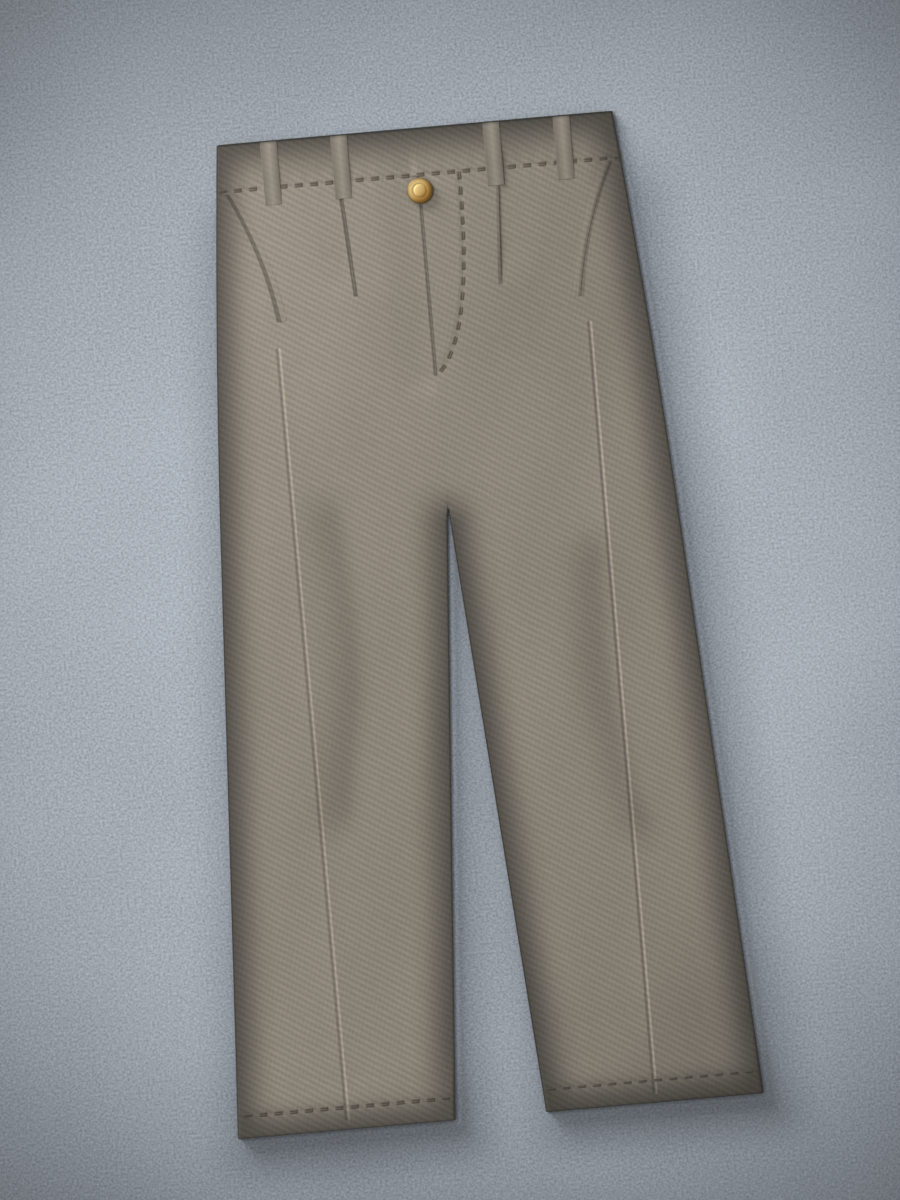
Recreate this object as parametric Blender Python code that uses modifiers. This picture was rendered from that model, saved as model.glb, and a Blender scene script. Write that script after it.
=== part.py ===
"""Pleated wide-leg trousers, laid flat on their back with the front up.

Metres, +Z up. +Y points to the waist, +X to the viewer's right, which is the wearer's left. The origin is
under the middle of the garment, on the surface it lies on. Left and right in names are the wearer's.

Every panel is a wall of cloth on a grid: a row of the grid is one section across the garment, and the
sections are worked out from the sizes below. A half is worked out for x > 0 and mirrored for the other side.
"down" is the distance from the waist edge, measured along the garment, and "half_x" is the distance from
the centre line.
"""
import math

import bpy
import numpy as np

MM = 0.001

# Outline, as it lies.
LENGTH = 1000 * MM
WAIST_HALF = 200 * MM
HIP_DOWN = 400 * MM          # below this the side seam is straight
HIP_HALF = 231.2 * MM
HEM_OUTER = 266 * MM
HEM_INNER = 46 * MM
CROTCH_DOWN = 385 * MM
CROTCH_OPENS = (378 * MM, 410 * MM)    # over which the inside edges turn down

# Cloth.
CLOTH = 1.5 * MM             # wall of one layer
DOUBLED = 3.0 * MM           # wall of the turned-up hem, two layers pressed together
GAP = 0.3 * MM               # between two pieces that meet
LAYER = CLOTH + GAP          # from one layer to the next one above it
HEM_DEPTH = 23 * MM
SEAM_UPRIGHT = 0.9 * MM      # upright stretch of the wall where it meets the other panel
EDGE_SOFT = 40 * MM          # width over which the front rises from a seam to its full height
EDGE_POWER = 2.2             # how round that rise is
HEM_STIFF = (915 * MM, 972 * MM)       # over which the crease gives way to the flat, doubled hem

# Waistband.
BAND_DEPTH = 47.7 * MM
PANEL_TOP = BAND_DEPTH + GAP
BAND_CLOTH = 2.6 * MM
BAND_SIDE = 5.8 * MM         # height of the folded band at the side
BAND_TOP = 7.5 * MM          # and across the front

# Pressed crease, one down the middle of each leg.
CREASE_HALF_X = 156 * MM
CREASE_HEIGHT = 0.9 * MM
CREASE_REACH = 9 * MM
CREASE_STARTS = (195 * MM, 235 * MM)

# Knife pleat, one on each front. Its fold edge faces the side seam.
PLEAT_TOP_X = 80.7 * MM
PLEAT_END_X = 73.6 * MM
PLEAT_END = 164.4 * MM       # where the fold has run out
PLEAT_ROLLS_OUT = 125 * MM   # where it starts to open
PLEAT_DEPTH = 14 * MM        # overlap at the waist seam
PLEAT_DEPTH_END = 0.6 * MM
PLEAT_ARC = math.pi * LAYER / 2        # length of cloth in one turn of the fold
PLEAT_ARC_OPEN = 2.0 * MM    # and once the fold opens, which it does over this share of its end
PLEAT_ARC_SHORTENS = 0.25
PLEAT_MIDDLE_OPEN = 3.5 * MM
PLEAT_SETTLES = 34 * MM      # width over which the cloth beside the fold comes back up, at the waist seam
PLEAT_SETTLES_END = 12 * MM  # and where the fold has run out
CLEAR_OF_FOLD = 1 * MM       # from the fold to the first point beside it
CLOSER_TO_FOLD = 1.7         # power that crowds the points beside the pleat towards it

# Fly: the left front laps over the right one.
FLY_UNDER = 12 * MM          # how far the right front runs on under the left
FLY_FLAT = 1 * MM            # how much of it lies low before the fly line
FLY_DIP = 16 * MM            # width over which it goes down to do so
FLY_NARROWS = (222 * MM, 246 * MM)
FLY_CLOSES = (250.6 * MM, 275 * MM)

# Slanted pocket mouth, a curve through three control points.
POCKET_CURVE = (
    # half_x, down
    (194.0 * MM, 50.4 * MM),
    (160.6 * MM, 117.0 * MM),
    (152.0 * MM, 183.5 * MM),
)
WELT_WIDTH = 7 * MM
WELT_CLOTH = 1.0 * MM
WELT_CLEAR = 0.4 * MM        # above the front's own points
WELT_ROWS = 13

# Belt loops.
LOOP_WIDTH = 17 * MM
LOOP_FROM, LOOP_TO = 1.7 * MM, 65.1 * MM
LOOP_CLOTH = 1.9 * MM
LOOP_ARCH = 0.5 * MM         # how much the middle of a loop stands above its edges
LOOP_STEPS_DOWN = 5 * MM     # length over which it comes down off the band
LOOP_POINTS = 5
LOOP_FRONT_X = (-148 * MM, -77 * MM, 77 * MM, 148 * MM)
LOOP_BACK_X = (-118 * MM, 0.0, 118 * MM)
LOOP_BACK_CLOTH = 1.2 * MM
LOOP_BACK_LIFT = LOOP_BACK_CLOTH + GAP
LOOP_BACK_SOFT = 14 * MM     # width over which the back comes down beside a loop

# Button.
BUTTON_DOWN = 64 * MM
BUTTON_PROFILE = (
    # radius, height above the foot, from the middle of the top down the outer side
    (0.0, 5.0), (3.0, 4.8), (5.4, 4.2), (6.4, 3.5), (7.2, 3.5), (8.2, 3.9), (10.6, 3.4),
    (12.4, 2.4), (13.0, 1.6), (12.6, 0.9), (11.0, 0.6), (4.0, 0.6), (4.0, 0.0), (0.0, 0.0),
)
BUTTON_STEPS = 28

# Height of the folded side edge at each place down the side and inside leg.
EDGE_HEIGHT = (
    # down, height
    (48 * MM, 5.4 * MM),
    (110 * MM, 4.8 * MM),
    (930 * MM, 4.8 * MM),
    (972 * MM, 6.9 * MM),
    (1000 * MM, 6.9 * MM),
)
# Height of the front's outer face away from the edges.
FRONT_HEIGHT = (
    # down, height
    (48 * MM, 6.9 * MM),
    (165 * MM, 6.9 * MM),
    (235 * MM, 6.0 * MM),
    (915 * MM, 6.0 * MM),
    (972 * MM, 6.9 * MM),
    (1000 * MM, 6.9 * MM),
)
# Soft troughs where the knees bend, each with its own line.
KNEE_TROUGHS = {
    # side: rows of (down, half_x)
    "right": ((376 * MM, 124 * MM), (451 * MM, 116 * MM), (517 * MM, 114 * MM),
              (585 * MM, 121 * MM), (652 * MM, 131 * MM), (686 * MM, 141 * MM)),
    "left": ((437 * MM, 138 * MM), (504 * MM, 132 * MM), (572 * MM, 134 * MM),
             (638 * MM, 144 * MM), (706 * MM, 164 * MM)),
}
TROUGH_DEPTH = 1.1 * MM
TROUGH_REACH = 15 * MM
TROUGH_FADES = 50 * MM

RIM_POINTS = 4               # points of a section in each turned side edge
BAND_TURN_POINTS = 7
BAND_RISE_SHARES = (0.15, 0.35, 0.62, 1.0)
FOLD_STEPS = 3               # straight steps in each turn of the pleat
# Sections: distances down at which the panels' grids have a row.
FRONT_ROWS = [PANEL_TOP] + [down * MM for down in (
    66, 88, 110, 125, 131, 137, 143, 149, 155, 160, 165, 180, 200, 222, 236, 246, 256, 275, 320, 372, 382,
    391, 400, 410, 430, 480, 530, 580, 630, 680, 725, 850, 915, 930, 950, 972, 976, 978, 1000)]
BACK_ROWS = [PANEL_TOP] + [down * MM for down in (
    66, 80, 110, 200, 300, 372, 382, 391, 400, 410, 600, 800, 930, 972, 976, 978, 1000)]

SIDE_SIGN = {"left": 1, "right": -1}
CLOTH_COLOUR = (0.262, 0.231, 0.187)
BAND_COLOUR = (0.240, 0.212, 0.172)
LOOP_COLOUR = (0.300, 0.266, 0.216)
BRASS_COLOUR = (0.70, 0.42, 0.09)


def smooth(value, low, high):
    """0 below low, 1 above high, and a smooth cubic between."""
    share = np.clip((value - low) / (high - low), 0.0, 1.0)
    return share * share * (3 - 2 * share)


def column(table, value):
    """Straight interpolation in a table of two columns."""
    rows = np.array(table)
    return np.interp(value, rows[:, 0], rows[:, 1])


def outer_edge(down):
    """The leg's straight side, carried up to the waist and drawn in there by a parabola."""
    slope = (HEM_OUTER - HIP_HALF) / (LENGTH - HIP_DOWN)
    straight = HIP_HALF + slope * (down - HIP_DOWN)
    drawn_in = straight_at_waist() - WAIST_HALF
    above_hip = max(0.0, 1 - down / HIP_DOWN)
    return straight - drawn_in * above_hip ** 2


def straight_at_waist():
    """Where the leg's straight side would meet the waist edge."""
    return HIP_HALF - (HEM_OUTER - HIP_HALF) / (LENGTH - HIP_DOWN) * HIP_DOWN


def inner_edge(down):
    """The centre line above the crotch, and the inside leg's straight edge below it."""
    return HEM_INNER * max(0.0, down - CROTCH_DOWN) / (LENGTH - CROTCH_DOWN)


def wall(down):
    """Thickness of a panel: one layer, and two in the turned-up hem."""
    return DOUBLED if down > LENGTH - HEM_DEPTH else CLOTH


def rim(radius, thickness, count):
    """The wall's middle at a side edge, as distances in from the edge and heights: a short upright stretch
    from the seam, which is at half the edge's height, and a quarter turn on to the crown."""
    middle = radius - thickness / 2
    angle = np.linspace(math.asin(SEAM_UPRIGHT / middle), math.pi / 2, count)
    across = radius - middle * np.cos(angle)
    height = radius + middle * np.sin(angle)
    return np.append(across[0], across), np.append(radius + GAP / 2, height)


def pleat_line(down):
    """half_x of the pleat's fold edge. Below the pleat it goes on midway from inner edge to crease."""
    along = (down - PANEL_TOP) / (PLEAT_END - PANEL_TOP)
    folded = PLEAT_TOP_X + (PLEAT_END_X - PLEAT_TOP_X) * min(along, 1.0)
    midway = (inner_edge(down) + CREASE_HALF_X) / 2
    return folded + (midway - folded) * smooth(down, PLEAT_END, HIP_DOWN)


def pleat_shape(down):
    """Turning angle of the fold, the length of cloth in each turn, and the length between the turns."""
    if down <= PLEAT_ROLLS_OUT:
        share = (down - PANEL_TOP) / (PLEAT_ROLLS_OUT - PANEL_TOP)
        return math.pi, PLEAT_ARC, PLEAT_DEPTH + (PLEAT_DEPTH_END - PLEAT_DEPTH) * share
    share = (down - PLEAT_ROLLS_OUT) / (PLEAT_END - PLEAT_ROLLS_OUT)
    opened = min(share, 1.0)
    angle = math.pi * (1 - opened)
    arc = PLEAT_ARC + (PLEAT_ARC_OPEN - PLEAT_ARC) * min(opened / PLEAT_ARC_SHORTENS, 1.0)
    middle = PLEAT_DEPTH_END + (PLEAT_MIDDLE_OPEN - PLEAT_DEPTH_END) * smooth(opened, 0.5, 1.0)
    return angle, arc, middle


def pleat_path(down, steps):
    """The fold's section, starting at the end of the upper layer: a turn down, a stretch back and a turn
    out again. Heading turns evenly along each arc, so the path is a running sum of short straight steps."""
    angle, arc, middle = pleat_shape(down)
    turn = (np.arange(steps) + 0.5) / steps * angle
    heading = np.concatenate([-turn, [-angle], turn - angle])
    # The straight steps of a turn are chords, so that a half turn is as high as a round one.
    chord = arc / steps
    if angle > 0:
        chord = 2 * (arc / angle) * math.sin(angle / steps / 2)
    lengths = np.concatenate([np.full(steps, chord), [middle], np.full(steps, chord)])
    across = np.concatenate([[0.0], np.cumsum(lengths * np.cos(heading))])
    rise = np.concatenate([[0.0], np.cumsum(lengths * np.sin(heading))])
    return across, rise


def risen(distance):
    """How far cloth has risen at a distance from an edge's crown, from 0 to 1: 1 - (1 - q)^EDGE_POWER, where
    q is the distance as a share of EDGE_SOFT."""
    near = np.clip(distance / EDGE_SOFT, 0.0, 1.0)
    return 1 - (1 - near) ** EDGE_POWER


def edge_share(half_x, down):
    """How far the front has risen from both of its edges. Above the crotch, the inside edge is one point."""
    crown = column(EDGE_HEIGHT, down) / 2
    to_side = outer_edge(down) - half_x
    to_inside = half_x - inner_edge(down)
    if down < CROTCH_DOWN:
        to_inside = np.hypot(half_x, CROTCH_DOWN - down)
    return risen(to_side - crown) * risen(to_inside - crown)


def front_top(half_x, down, side):
    """Height of the front's outer face, without its pleat: the height inside, with the pressed crease as a
    ridge and the knee as a soft trough, brought down towards the seams."""
    half_x = np.asarray(half_x, dtype=float)
    height = column(FRONT_HEIGHT, down) + np.zeros_like(half_x)
    pressed = smooth(down, *CREASE_STARTS) * (1 - smooth(down, *HEM_STIFF))
    height += CREASE_HEIGHT * pressed * np.exp(-np.abs(half_x - CREASE_HALF_X) / CREASE_REACH)
    trough = KNEE_TROUGHS[side]
    starts, ends = trough[0][0], trough[-1][0]
    fade = smooth(down, starts, starts + TROUGH_FADES) * (1 - smooth(down, ends - TROUGH_FADES, ends))
    off_line = (half_x - column(trough, down)) / TROUGH_REACH
    height -= TROUGH_DEPTH * fade * np.exp(-off_line ** 2)
    edge = column(EDGE_HEIGHT, down)
    return edge + (height - edge) * edge_share(half_x, down)


def front_beside_pleat(half_x, down, side):
    """Height of the outer face on the pleat's low side, where it comes back up. The low part is a long
    wedge, wide at the waist seam and narrow where the pleat ends."""
    drop = -pleat_path(down, FOLD_STEPS)[1][-1]
    settles = np.interp(down, (PANEL_TOP, PLEAT_END), (PLEAT_SETTLES, PLEAT_SETTLES_END))
    back_up = smooth(half_x - pleat_line(down), 0.0, settles)
    return front_top(half_x, down, side) - drop * (1 - back_up)


def inside_edge_points(down, height, thickness, count):
    """First points of a section: level cloth at the centre seam, and below the crotch a rim turned down."""
    edge = inner_edge(down)
    radius = column(EDGE_HEIGHT, down) / 2
    turned = smooth(down, *CROTCH_OPENS)
    rim_in, rim_up = rim(radius, thickness, count)
    flat_in = GAP / 2 + np.linspace(0.0, radius, count + 1)
    half_turned = 4 * turned * (1 - turned)
    across = edge + turned * rim_in + (1 - turned) * flat_in + half_turned * CLOTH / 3
    return across, turned * rim_up + (1 - turned) * height


def front_section(down, side):
    """One row of a front: inside edge, upper layer, pleat, cloth to the crease, and on to the side seam."""
    thickness = wall(down)
    radius = column(EDGE_HEIGHT, down) / 2
    level = float(front_top(inner_edge(down) + radius, down, side)) - thickness / 2
    first_x, first_z = inside_edge_points(down, level, thickness, RIM_POINTS - 1)

    fold_starts = pleat_line(down) - LAYER / 2 - CLOTH / 2
    beside_fly = first_x[-1] + FLY_FLAT
    upper_x = np.append(beside_fly, np.linspace(beside_fly + FLY_DIP, fold_starts, 4))
    upper_z = front_top(upper_x, down, side) - thickness / 2

    fold_x, fold_z = pleat_path(down, FOLD_STEPS)
    fold_x, fold_z = upper_x[-1] + fold_x[1:], upper_z[-1] + fold_z[1:]

    clear_of_fold = max(pleat_line(down), fold_x[-1]) + CLEAR_OF_FOLD
    beside = np.linspace(0.0, 1.0, 5) ** CLOSER_TO_FOLD
    beside_x = clear_of_fold + (CREASE_HALF_X - clear_of_fold) * beside
    beside_z = front_beside_pleat(beside_x, down, side) - thickness / 2

    side_x = np.linspace(CREASE_HALF_X, outer_edge(down) - radius, 6)[1:]
    side_z = front_top(side_x, down, side) - thickness / 2

    rim_in, rim_up = rim(radius, thickness, RIM_POINTS - 1)
    last_x, last_z = outer_edge(down) - rim_in[-2::-1], rim_up[-2::-1]
    across = np.concatenate([first_x, upper_x, fold_x, beside_x, side_x, last_x])
    height = np.concatenate([first_z, upper_z, fold_z, beside_z, side_z, last_z])
    if side == "right":
        across, height = lapped_under(across, height, down)
    return across, height


def lapped_under(across, height, down):
    """The right front at the fly: its edge goes down one layer and runs on under the left front."""
    if down > CROTCH_DOWN - EDGE_SOFT:
        return across, height
    reach = FLY_UNDER * (1 - smooth(down, *FLY_NARROWS))
    dip = LAYER * (1 - smooth(down, *FLY_CLOSES))
    low = RIM_POINTS + 1
    across[:low] = np.linspace(GAP / 2 - reach, across[low - 1], low)
    height[:low] -= dip
    return across, height


def loop_lift(half_x, down):
    """How much the back stands up where it lies on a back loop."""
    lift = 0.0
    for loop_x in LOOP_BACK_X:
        off = np.abs(np.asarray(half_x) - abs(loop_x)) - LOOP_WIDTH / 2
        lift = np.maximum(lift, 1 - smooth(off, 0.0, LOOP_BACK_SOFT))
    return LOOP_BACK_LIFT * lift * (1 - smooth(down, LOOP_TO, LOOP_TO + LOOP_BACK_SOFT))


def loop_stops(first):
    """Places across half of the back where it starts and stops rising over its loops, from first on."""
    half, ramp = LOOP_WIDTH / 2, LOOP_WIDTH / 2 + LOOP_BACK_SOFT
    outer = LOOP_BACK_X[-1]
    return [first + half, first + ramp, outer - ramp, outer - half, outer + half, outer + ramp]


def back_section(down, side):
    """One row of a back: flat on the surface, with its rims turned up to meet the front's."""
    thickness = wall(down)
    radius = column(EDGE_HEIGHT, down) / 2
    first_x, first_z = inside_edge_points(down, 2 * radius - thickness / 2, thickness, RIM_POINTS - 1)
    rim_in, rim_up = rim(radius, thickness, RIM_POINTS - 1)
    last_x, last_z = outer_edge(down) - rim_in[::-1], rim_up[::-1]
    middle_x = np.array(loop_stops(inner_edge(down)))
    middle_z = np.full(len(middle_x), 2 * radius - thickness / 2)
    across = np.concatenate([first_x, middle_x, last_x])
    # The front's rim turned over: what is above the crown's floor is now below it.
    height = 2 * radius - np.concatenate([first_z, middle_z, last_z])
    return across, height + loop_lift(across, down)


def band_section(down, side):
    """One row of half a waistband: along the back, a half turn at the side, and along the front."""
    edge = outer_edge(down)
    radius = BAND_SIDE / 2
    middle = radius - BAND_CLOTH / 2
    back_x = np.array([GAP / 2] + loop_stops(0.0))
    back_z = BAND_CLOTH / 2 + loop_lift(back_x, down)
    turn = np.linspace(-math.pi / 2, math.pi / 2, BAND_TURN_POINTS)
    turn_x, turn_z = edge - radius + middle * np.cos(turn), radius + middle * np.sin(turn)
    from_turn = np.append(EDGE_SOFT * np.array(BAND_RISE_SHARES), edge - radius - GAP / 2)
    front_z = BAND_SIDE - BAND_CLOTH / 2 + (BAND_TOP - BAND_SIDE) * risen(from_turn)
    across = np.concatenate([back_x, turn_x, edge - radius - from_turn])
    return across, np.concatenate([back_z, turn_z, front_z])


def make_material(name, colour, roughness, metallic=0.0):
    """A Principled material."""
    material = bpy.data.materials.new(name)
    material.use_nodes = True
    shader = material.node_tree.nodes["Principled BSDF"]
    shader.inputs["Base Color"].default_value = (*colour, 1.0)
    shader.inputs["Roughness"].default_value = roughness
    shader.inputs["Metallic"].default_value = metallic
    material.diffuse_color = (*colour, 1.0)
    return material


def grid_mesh(name, points):
    """An open surface through rows and columns of points, facing up where rows run down the garment and
    columns run to +X."""
    rows, columns = points.shape[:2]
    index = np.arange(rows * columns).reshape(rows, columns)
    faces = np.stack([index[:-1, :-1], index[1:, :-1], index[1:, 1:], index[:-1, 1:]], axis=-1)
    mesh = bpy.data.meshes.new(name)
    mesh.from_pydata(points.reshape(-1, 3).tolist(), [], faces.reshape(-1, 4).tolist())
    return mesh


def make_wall(name, points, material, thickness=CLOTH, doubled_rows=None):
    """A piece of cloth: the open surface, with Solidify adding half the wall on each side of it. Rows
    marked as doubled get the hem's wall."""
    piece = bpy.data.objects.new(name, grid_mesh(name, points))
    garment.objects.link(piece)
    piece.data.materials.append(material)
    solid = piece.modifiers.new("wall", "SOLIDIFY")
    solid.offset = 0.0
    solid.thickness = thickness
    solid.use_even_offset = True
    if doubled_rows is not None:
        group = piece.vertex_groups.new(name="turned_up_hem")
        columns = points.shape[1]
        marked = np.flatnonzero(np.repeat(doubled_rows, columns))
        group.add(marked.tolist(), 1.0, "REPLACE")
        solid.thickness = DOUBLED
        solid.vertex_group = group.name
        solid.thickness_vertex_group = CLOTH / DOUBLED
    return piece


def panel_points(section, rows, side):
    """The grid of one half: each row's section, at its place down the garment."""
    sign = SIDE_SIGN[side]
    grid = []
    for down in rows:
        across, height = section(down, side)
        along = np.full(len(across), LENGTH / 2 - down)
        grid.append(np.column_stack([sign * across, along, height]))
    grid = np.array(grid)
    return grid if sign > 0 else grid[:, ::-1]


def make_panels():
    """Fronts and backs."""
    cloth = make_material("cloth", CLOTH_COLOUR, 0.9)
    for name, section, rows in (("front", front_section, FRONT_ROWS), ("back", back_section, BACK_ROWS)):
        for side in SIDE_SIGN:
            doubled = np.array([wall(down) == DOUBLED for down in rows])
            points = panel_points(section, rows, side)
            make_wall(f"{name}_{side}", points, cloth, doubled_rows=doubled)


def make_waistband():
    """Two halves that meet at centre front and centre back."""
    cloth = make_material("band_cloth", BAND_COLOUR, 0.9)
    for side in SIDE_SIGN:
        points = panel_points(band_section, [0.0, BAND_DEPTH / 2, BAND_DEPTH], side)
        make_wall(f"waistband_{side}", points, cloth, thickness=BAND_CLOTH)


def pocket_point(share):
    """A point of the pocket mouth's curve, and its unit direction towards the centre line."""
    start, control, end = (np.array(point) for point in POCKET_CURVE)
    point = (1 - share) ** 2 * start + 2 * share * (1 - share) * control + share ** 2 * end
    run = 2 * (1 - share) * (control - start) + 2 * share * (end - control)
    run = run / np.linalg.norm(run)
    return point, np.array([-run[1], run[0]])


def make_pocket_welts():
    """A narrow folded strip along each pocket mouth, on the front's own points, moved out."""
    cloth = make_material("welt_cloth", CLOTH_COLOUR, 0.9)
    clear = WELT_CLEAR + WELT_CLOTH / 2
    for side, sign in SIDE_SIGN.items():
        grid = []
        for share in np.linspace(0.0, 1.0, WELT_ROWS):
            point, inward = pocket_point(share)
            row = []
            for width in (0.0, WELT_WIDTH / 2, WELT_WIDTH):
                half_x, down = point + inward * width
                down = max(down, PANEL_TOP + GAP)
                height = float(front_top(half_x, down, side)) + clear
                row.append((sign * half_x, LENGTH / 2 - down, height))
            grid.append(row if sign < 0 else row[::-1])
        make_wall(f"pocket_welt_{side}", np.array(grid), cloth, thickness=WELT_CLOTH)


def make_loops():
    """Belt loops: strips with an arched middle, over the band in front and flat beneath it behind."""
    cloth = make_material("loop_cloth", LOOP_COLOUR, 0.9)
    across = np.linspace(-0.5, 0.5, LOOP_POINTS)
    arch = LOOP_ARCH * (1 - (2 * across) ** 2)
    lower = LOOP_CLOTH / 2 + GAP
    panel = column(FRONT_HEIGHT, LOOP_TO)
    rows = (
        # down, height of what the loop lies on
        (LOOP_FROM, BAND_TOP),
        (BAND_DEPTH, BAND_TOP),
        (BAND_DEPTH + LOOP_STEPS_DOWN, panel),
        (LOOP_TO, panel),
    )
    for number, centre in enumerate(LOOP_FRONT_X, 1):
        grid = [np.column_stack([centre + across * LOOP_WIDTH, np.full(LOOP_POINTS, LENGTH / 2 - down),
                                 below + lower + arch]) for down, below in rows]
        make_wall(f"loop_front_{number}", np.array(grid), cloth, thickness=LOOP_CLOTH)
    for number, centre in enumerate(LOOP_BACK_X, 1):
        grid = [np.column_stack([centre + across * LOOP_WIDTH, np.full(LOOP_POINTS, LENGTH / 2 - down),
                                 np.full(LOOP_POINTS, LOOP_BACK_CLOTH / 2)]) for down in (LOOP_FROM, LOOP_TO)]
        make_wall(f"loop_back_{number}", np.array(grid), cloth, thickness=LOOP_BACK_CLOTH)


def make_button():
    """Turned brass: a profile carried once round by Screw, on a short foot that stands on the fly."""
    profile = [(radius * MM, 0.0, height * MM) for radius, height in BUTTON_PROFILE]
    mesh = bpy.data.meshes.new("button")
    mesh.from_pydata(profile, [(k, k + 1) for k in range(len(profile) - 1)], [])
    button = bpy.data.objects.new("button", mesh)
    garment.objects.link(button)
    mesh.materials.append(make_material("brass", BRASS_COLOUR, 0.3, metallic=1.0))
    button.location = (0.0, LENGTH / 2 - BUTTON_DOWN, column(FRONT_HEIGHT, BUTTON_DOWN) + GAP)
    turn = button.modifiers.new("turn", "SCREW")
    turn.angle = 2 * math.pi
    turn.steps = BUTTON_STEPS
    turn.render_steps = BUTTON_STEPS
    turn.use_merge_vertices = True
    turn.merge_threshold = 0.00001
    turn.use_smooth_shade = True
    return button


for leftover in list(bpy.data.objects):
    bpy.data.objects.remove(leftover, do_unlink=True)
garment = bpy.data.collections.new("pleated_trousers")
bpy.context.scene.collection.children.link(garment)
make_panels()
make_waistband()
make_pocket_welts()
make_loops()
make_button()
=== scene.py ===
# %% [markdown]
# # Pleated wide-leg trousers, laid flat
#
# These trousers lie on their back on a plain surface, front up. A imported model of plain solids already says
# where everything is. This lesson dresses it: each solid is replaced by a thin shell of cloth on the same
# form, with its folds, stitches and weave.
#
# All sizes are in metres, +Y points to the waist, +X to the viewer's right and +Z up. Left and right in
# names are the wearer's, so the left leg is on the viewer's right. "down" is the distance from the waist
# edge, and "half_x" the distance from the centre line.

# %% Load the model
import math

import bpy
import numpy as np
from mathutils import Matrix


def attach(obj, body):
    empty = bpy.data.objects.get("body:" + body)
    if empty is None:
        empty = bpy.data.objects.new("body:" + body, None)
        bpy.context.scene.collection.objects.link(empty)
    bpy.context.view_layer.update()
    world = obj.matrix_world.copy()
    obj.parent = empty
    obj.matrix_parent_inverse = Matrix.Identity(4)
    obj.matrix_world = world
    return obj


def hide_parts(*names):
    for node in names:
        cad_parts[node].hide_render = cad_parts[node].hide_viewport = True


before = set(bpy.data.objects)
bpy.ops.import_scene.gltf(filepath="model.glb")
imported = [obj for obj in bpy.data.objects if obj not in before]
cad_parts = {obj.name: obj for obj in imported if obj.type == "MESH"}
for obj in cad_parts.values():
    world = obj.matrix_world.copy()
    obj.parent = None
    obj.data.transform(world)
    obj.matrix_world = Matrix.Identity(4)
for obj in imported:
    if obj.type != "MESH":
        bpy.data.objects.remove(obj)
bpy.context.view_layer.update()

MM = 0.001
SIDE_SIGN = {"left": 1, "right": -1}

# %% [markdown]
# ## The outline
# A pattern cutter draws trousers as a few straight lines and shallow curves. The side seam is straight from
# the hem to the hip and curves in to the waist, and the inside leg is straight from the hem to the crotch.
# The same lines could be traced as points, but two formulas keep every piece on exactly the same outline.

# %% Outline
LENGTH, WAIST_HALF = 1000 * MM, 200.4 * MM
HIP_DOWN, HIP_HALF = 400 * MM, 231.6 * MM
HEM_OUTER, HEM_INNER = 266.4 * MM, 45.6 * MM
CROTCH_DOWN = 385 * MM
LEG_SLOPE = (HEM_OUTER - HIP_HALF) / (LENGTH - HIP_DOWN)
DRAWN_IN = HIP_HALF - LEG_SLOPE * HIP_DOWN - WAIST_HALF


def outer_edge(down):
    """The leg's straight side, carried up to the waist and drawn in there by a parabola."""
    straight = HIP_HALF + LEG_SLOPE * (down - HIP_DOWN)
    return straight - DRAWN_IN * np.maximum(0.0, 1 - down / HIP_DOWN) ** 2


def inner_edge(down):
    """The centre line above the crotch, and a straight line to the hem below it."""
    return HEM_INNER * np.maximum(0.0, down - CROTCH_DOWN) / (LENGTH - CROTCH_DOWN)


print("leg width at the hem, mm:", (outer_edge(LENGTH) - inner_edge(LENGTH)) / MM)

# %% [markdown]
# ## Two small tools for soft forms
# Cloth has no sharp steps, so most forms below fade in and out. A smooth step does the fading, and a short
# table with straight interpolation holds sizes that change down the leg.

# %% Smooth steps and tables
def smooth(value, low, high):
    """0 below low, 1 above high, and the cubic 3s^2 - 2s^3 between."""
    share = np.clip((value - low) / (high - low), 0.0, 1.0)
    return share * share * (3 - 2 * share)


def column(table, value):
    """Straight interpolation in a table of two columns."""
    return np.interp(value, *np.transpose(table))


def bell(distance, reach):
    """A soft bump of height 1: e to the power of minus the squared share of the reach."""
    return np.exp(-(distance / reach) ** 2)


def between(start, end, shares):
    """start + (end - start) times the share, for each share."""
    return start + (end - start) * shares


print("halfway up a smooth step:", smooth(0.5, 0, 1))

# %% [markdown]
# ## How high the cloth lies
# Laid flat, a leg is two layers with a rounded fold at each side. The front is lowest at its edges and
# swells over about 40 mm to its full height. A cloth simulation could settle this, but the forms that count
# here are pressed ones, which a formula places exactly where the iron put them.

# %% Heights across the front
CLOTH = 1.2 * MM             # one layer as it shows
PANEL_TOP = 48 * MM          # where the legs' cloth starts, under the waistband
EDGE_SOFT, EDGE_POWER = 40 * MM, 2.2
# rows of down and height, of the rounded side edge and of the cloth inside the edges
EDGE_HEIGHT = MM * np.array([(48, 5.4), (110, 4.8), (930, 4.8), (972, 6.9), (1000, 6.9)])
FRONT_HEIGHT = MM * np.array([(48, 6.9), (165, 6.9), (235, 6.0), (915, 6.0), (972, 6.9), (1000, 6.9)])


def edge_distances(half_x, down):
    """Distances to the side edge and to the inside edge, which is one point above the crotch."""
    to_side = outer_edge(down) - half_x
    to_inside = np.where(down < CROTCH_DOWN, np.hypot(half_x, CROTCH_DOWN - down), half_x - inner_edge(down))
    return to_side, to_inside


def risen(distance):
    """From 0 at an edge to 1 inside it: 1 - (1 - q)^EDGE_POWER, q being the distance over EDGE_SOFT."""
    return 1 - (1 - np.clip(distance / EDGE_SOFT, 0.0, 1.0)) ** EDGE_POWER


print("the front is", column(FRONT_HEIGHT, 300 * MM) / MM, "mm high at the hip")

# %% [markdown]
# ## Pressed creases and bent knees
# A crease is a sharp ridge ironed into the middle of each leg. At the knees the cloth has kept a long
# shallow hollow from being worn, a different one on each leg, so each has its own line of points. The rest
# of the cloth is never quite level, which a few long waves of different lengths give it.

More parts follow.
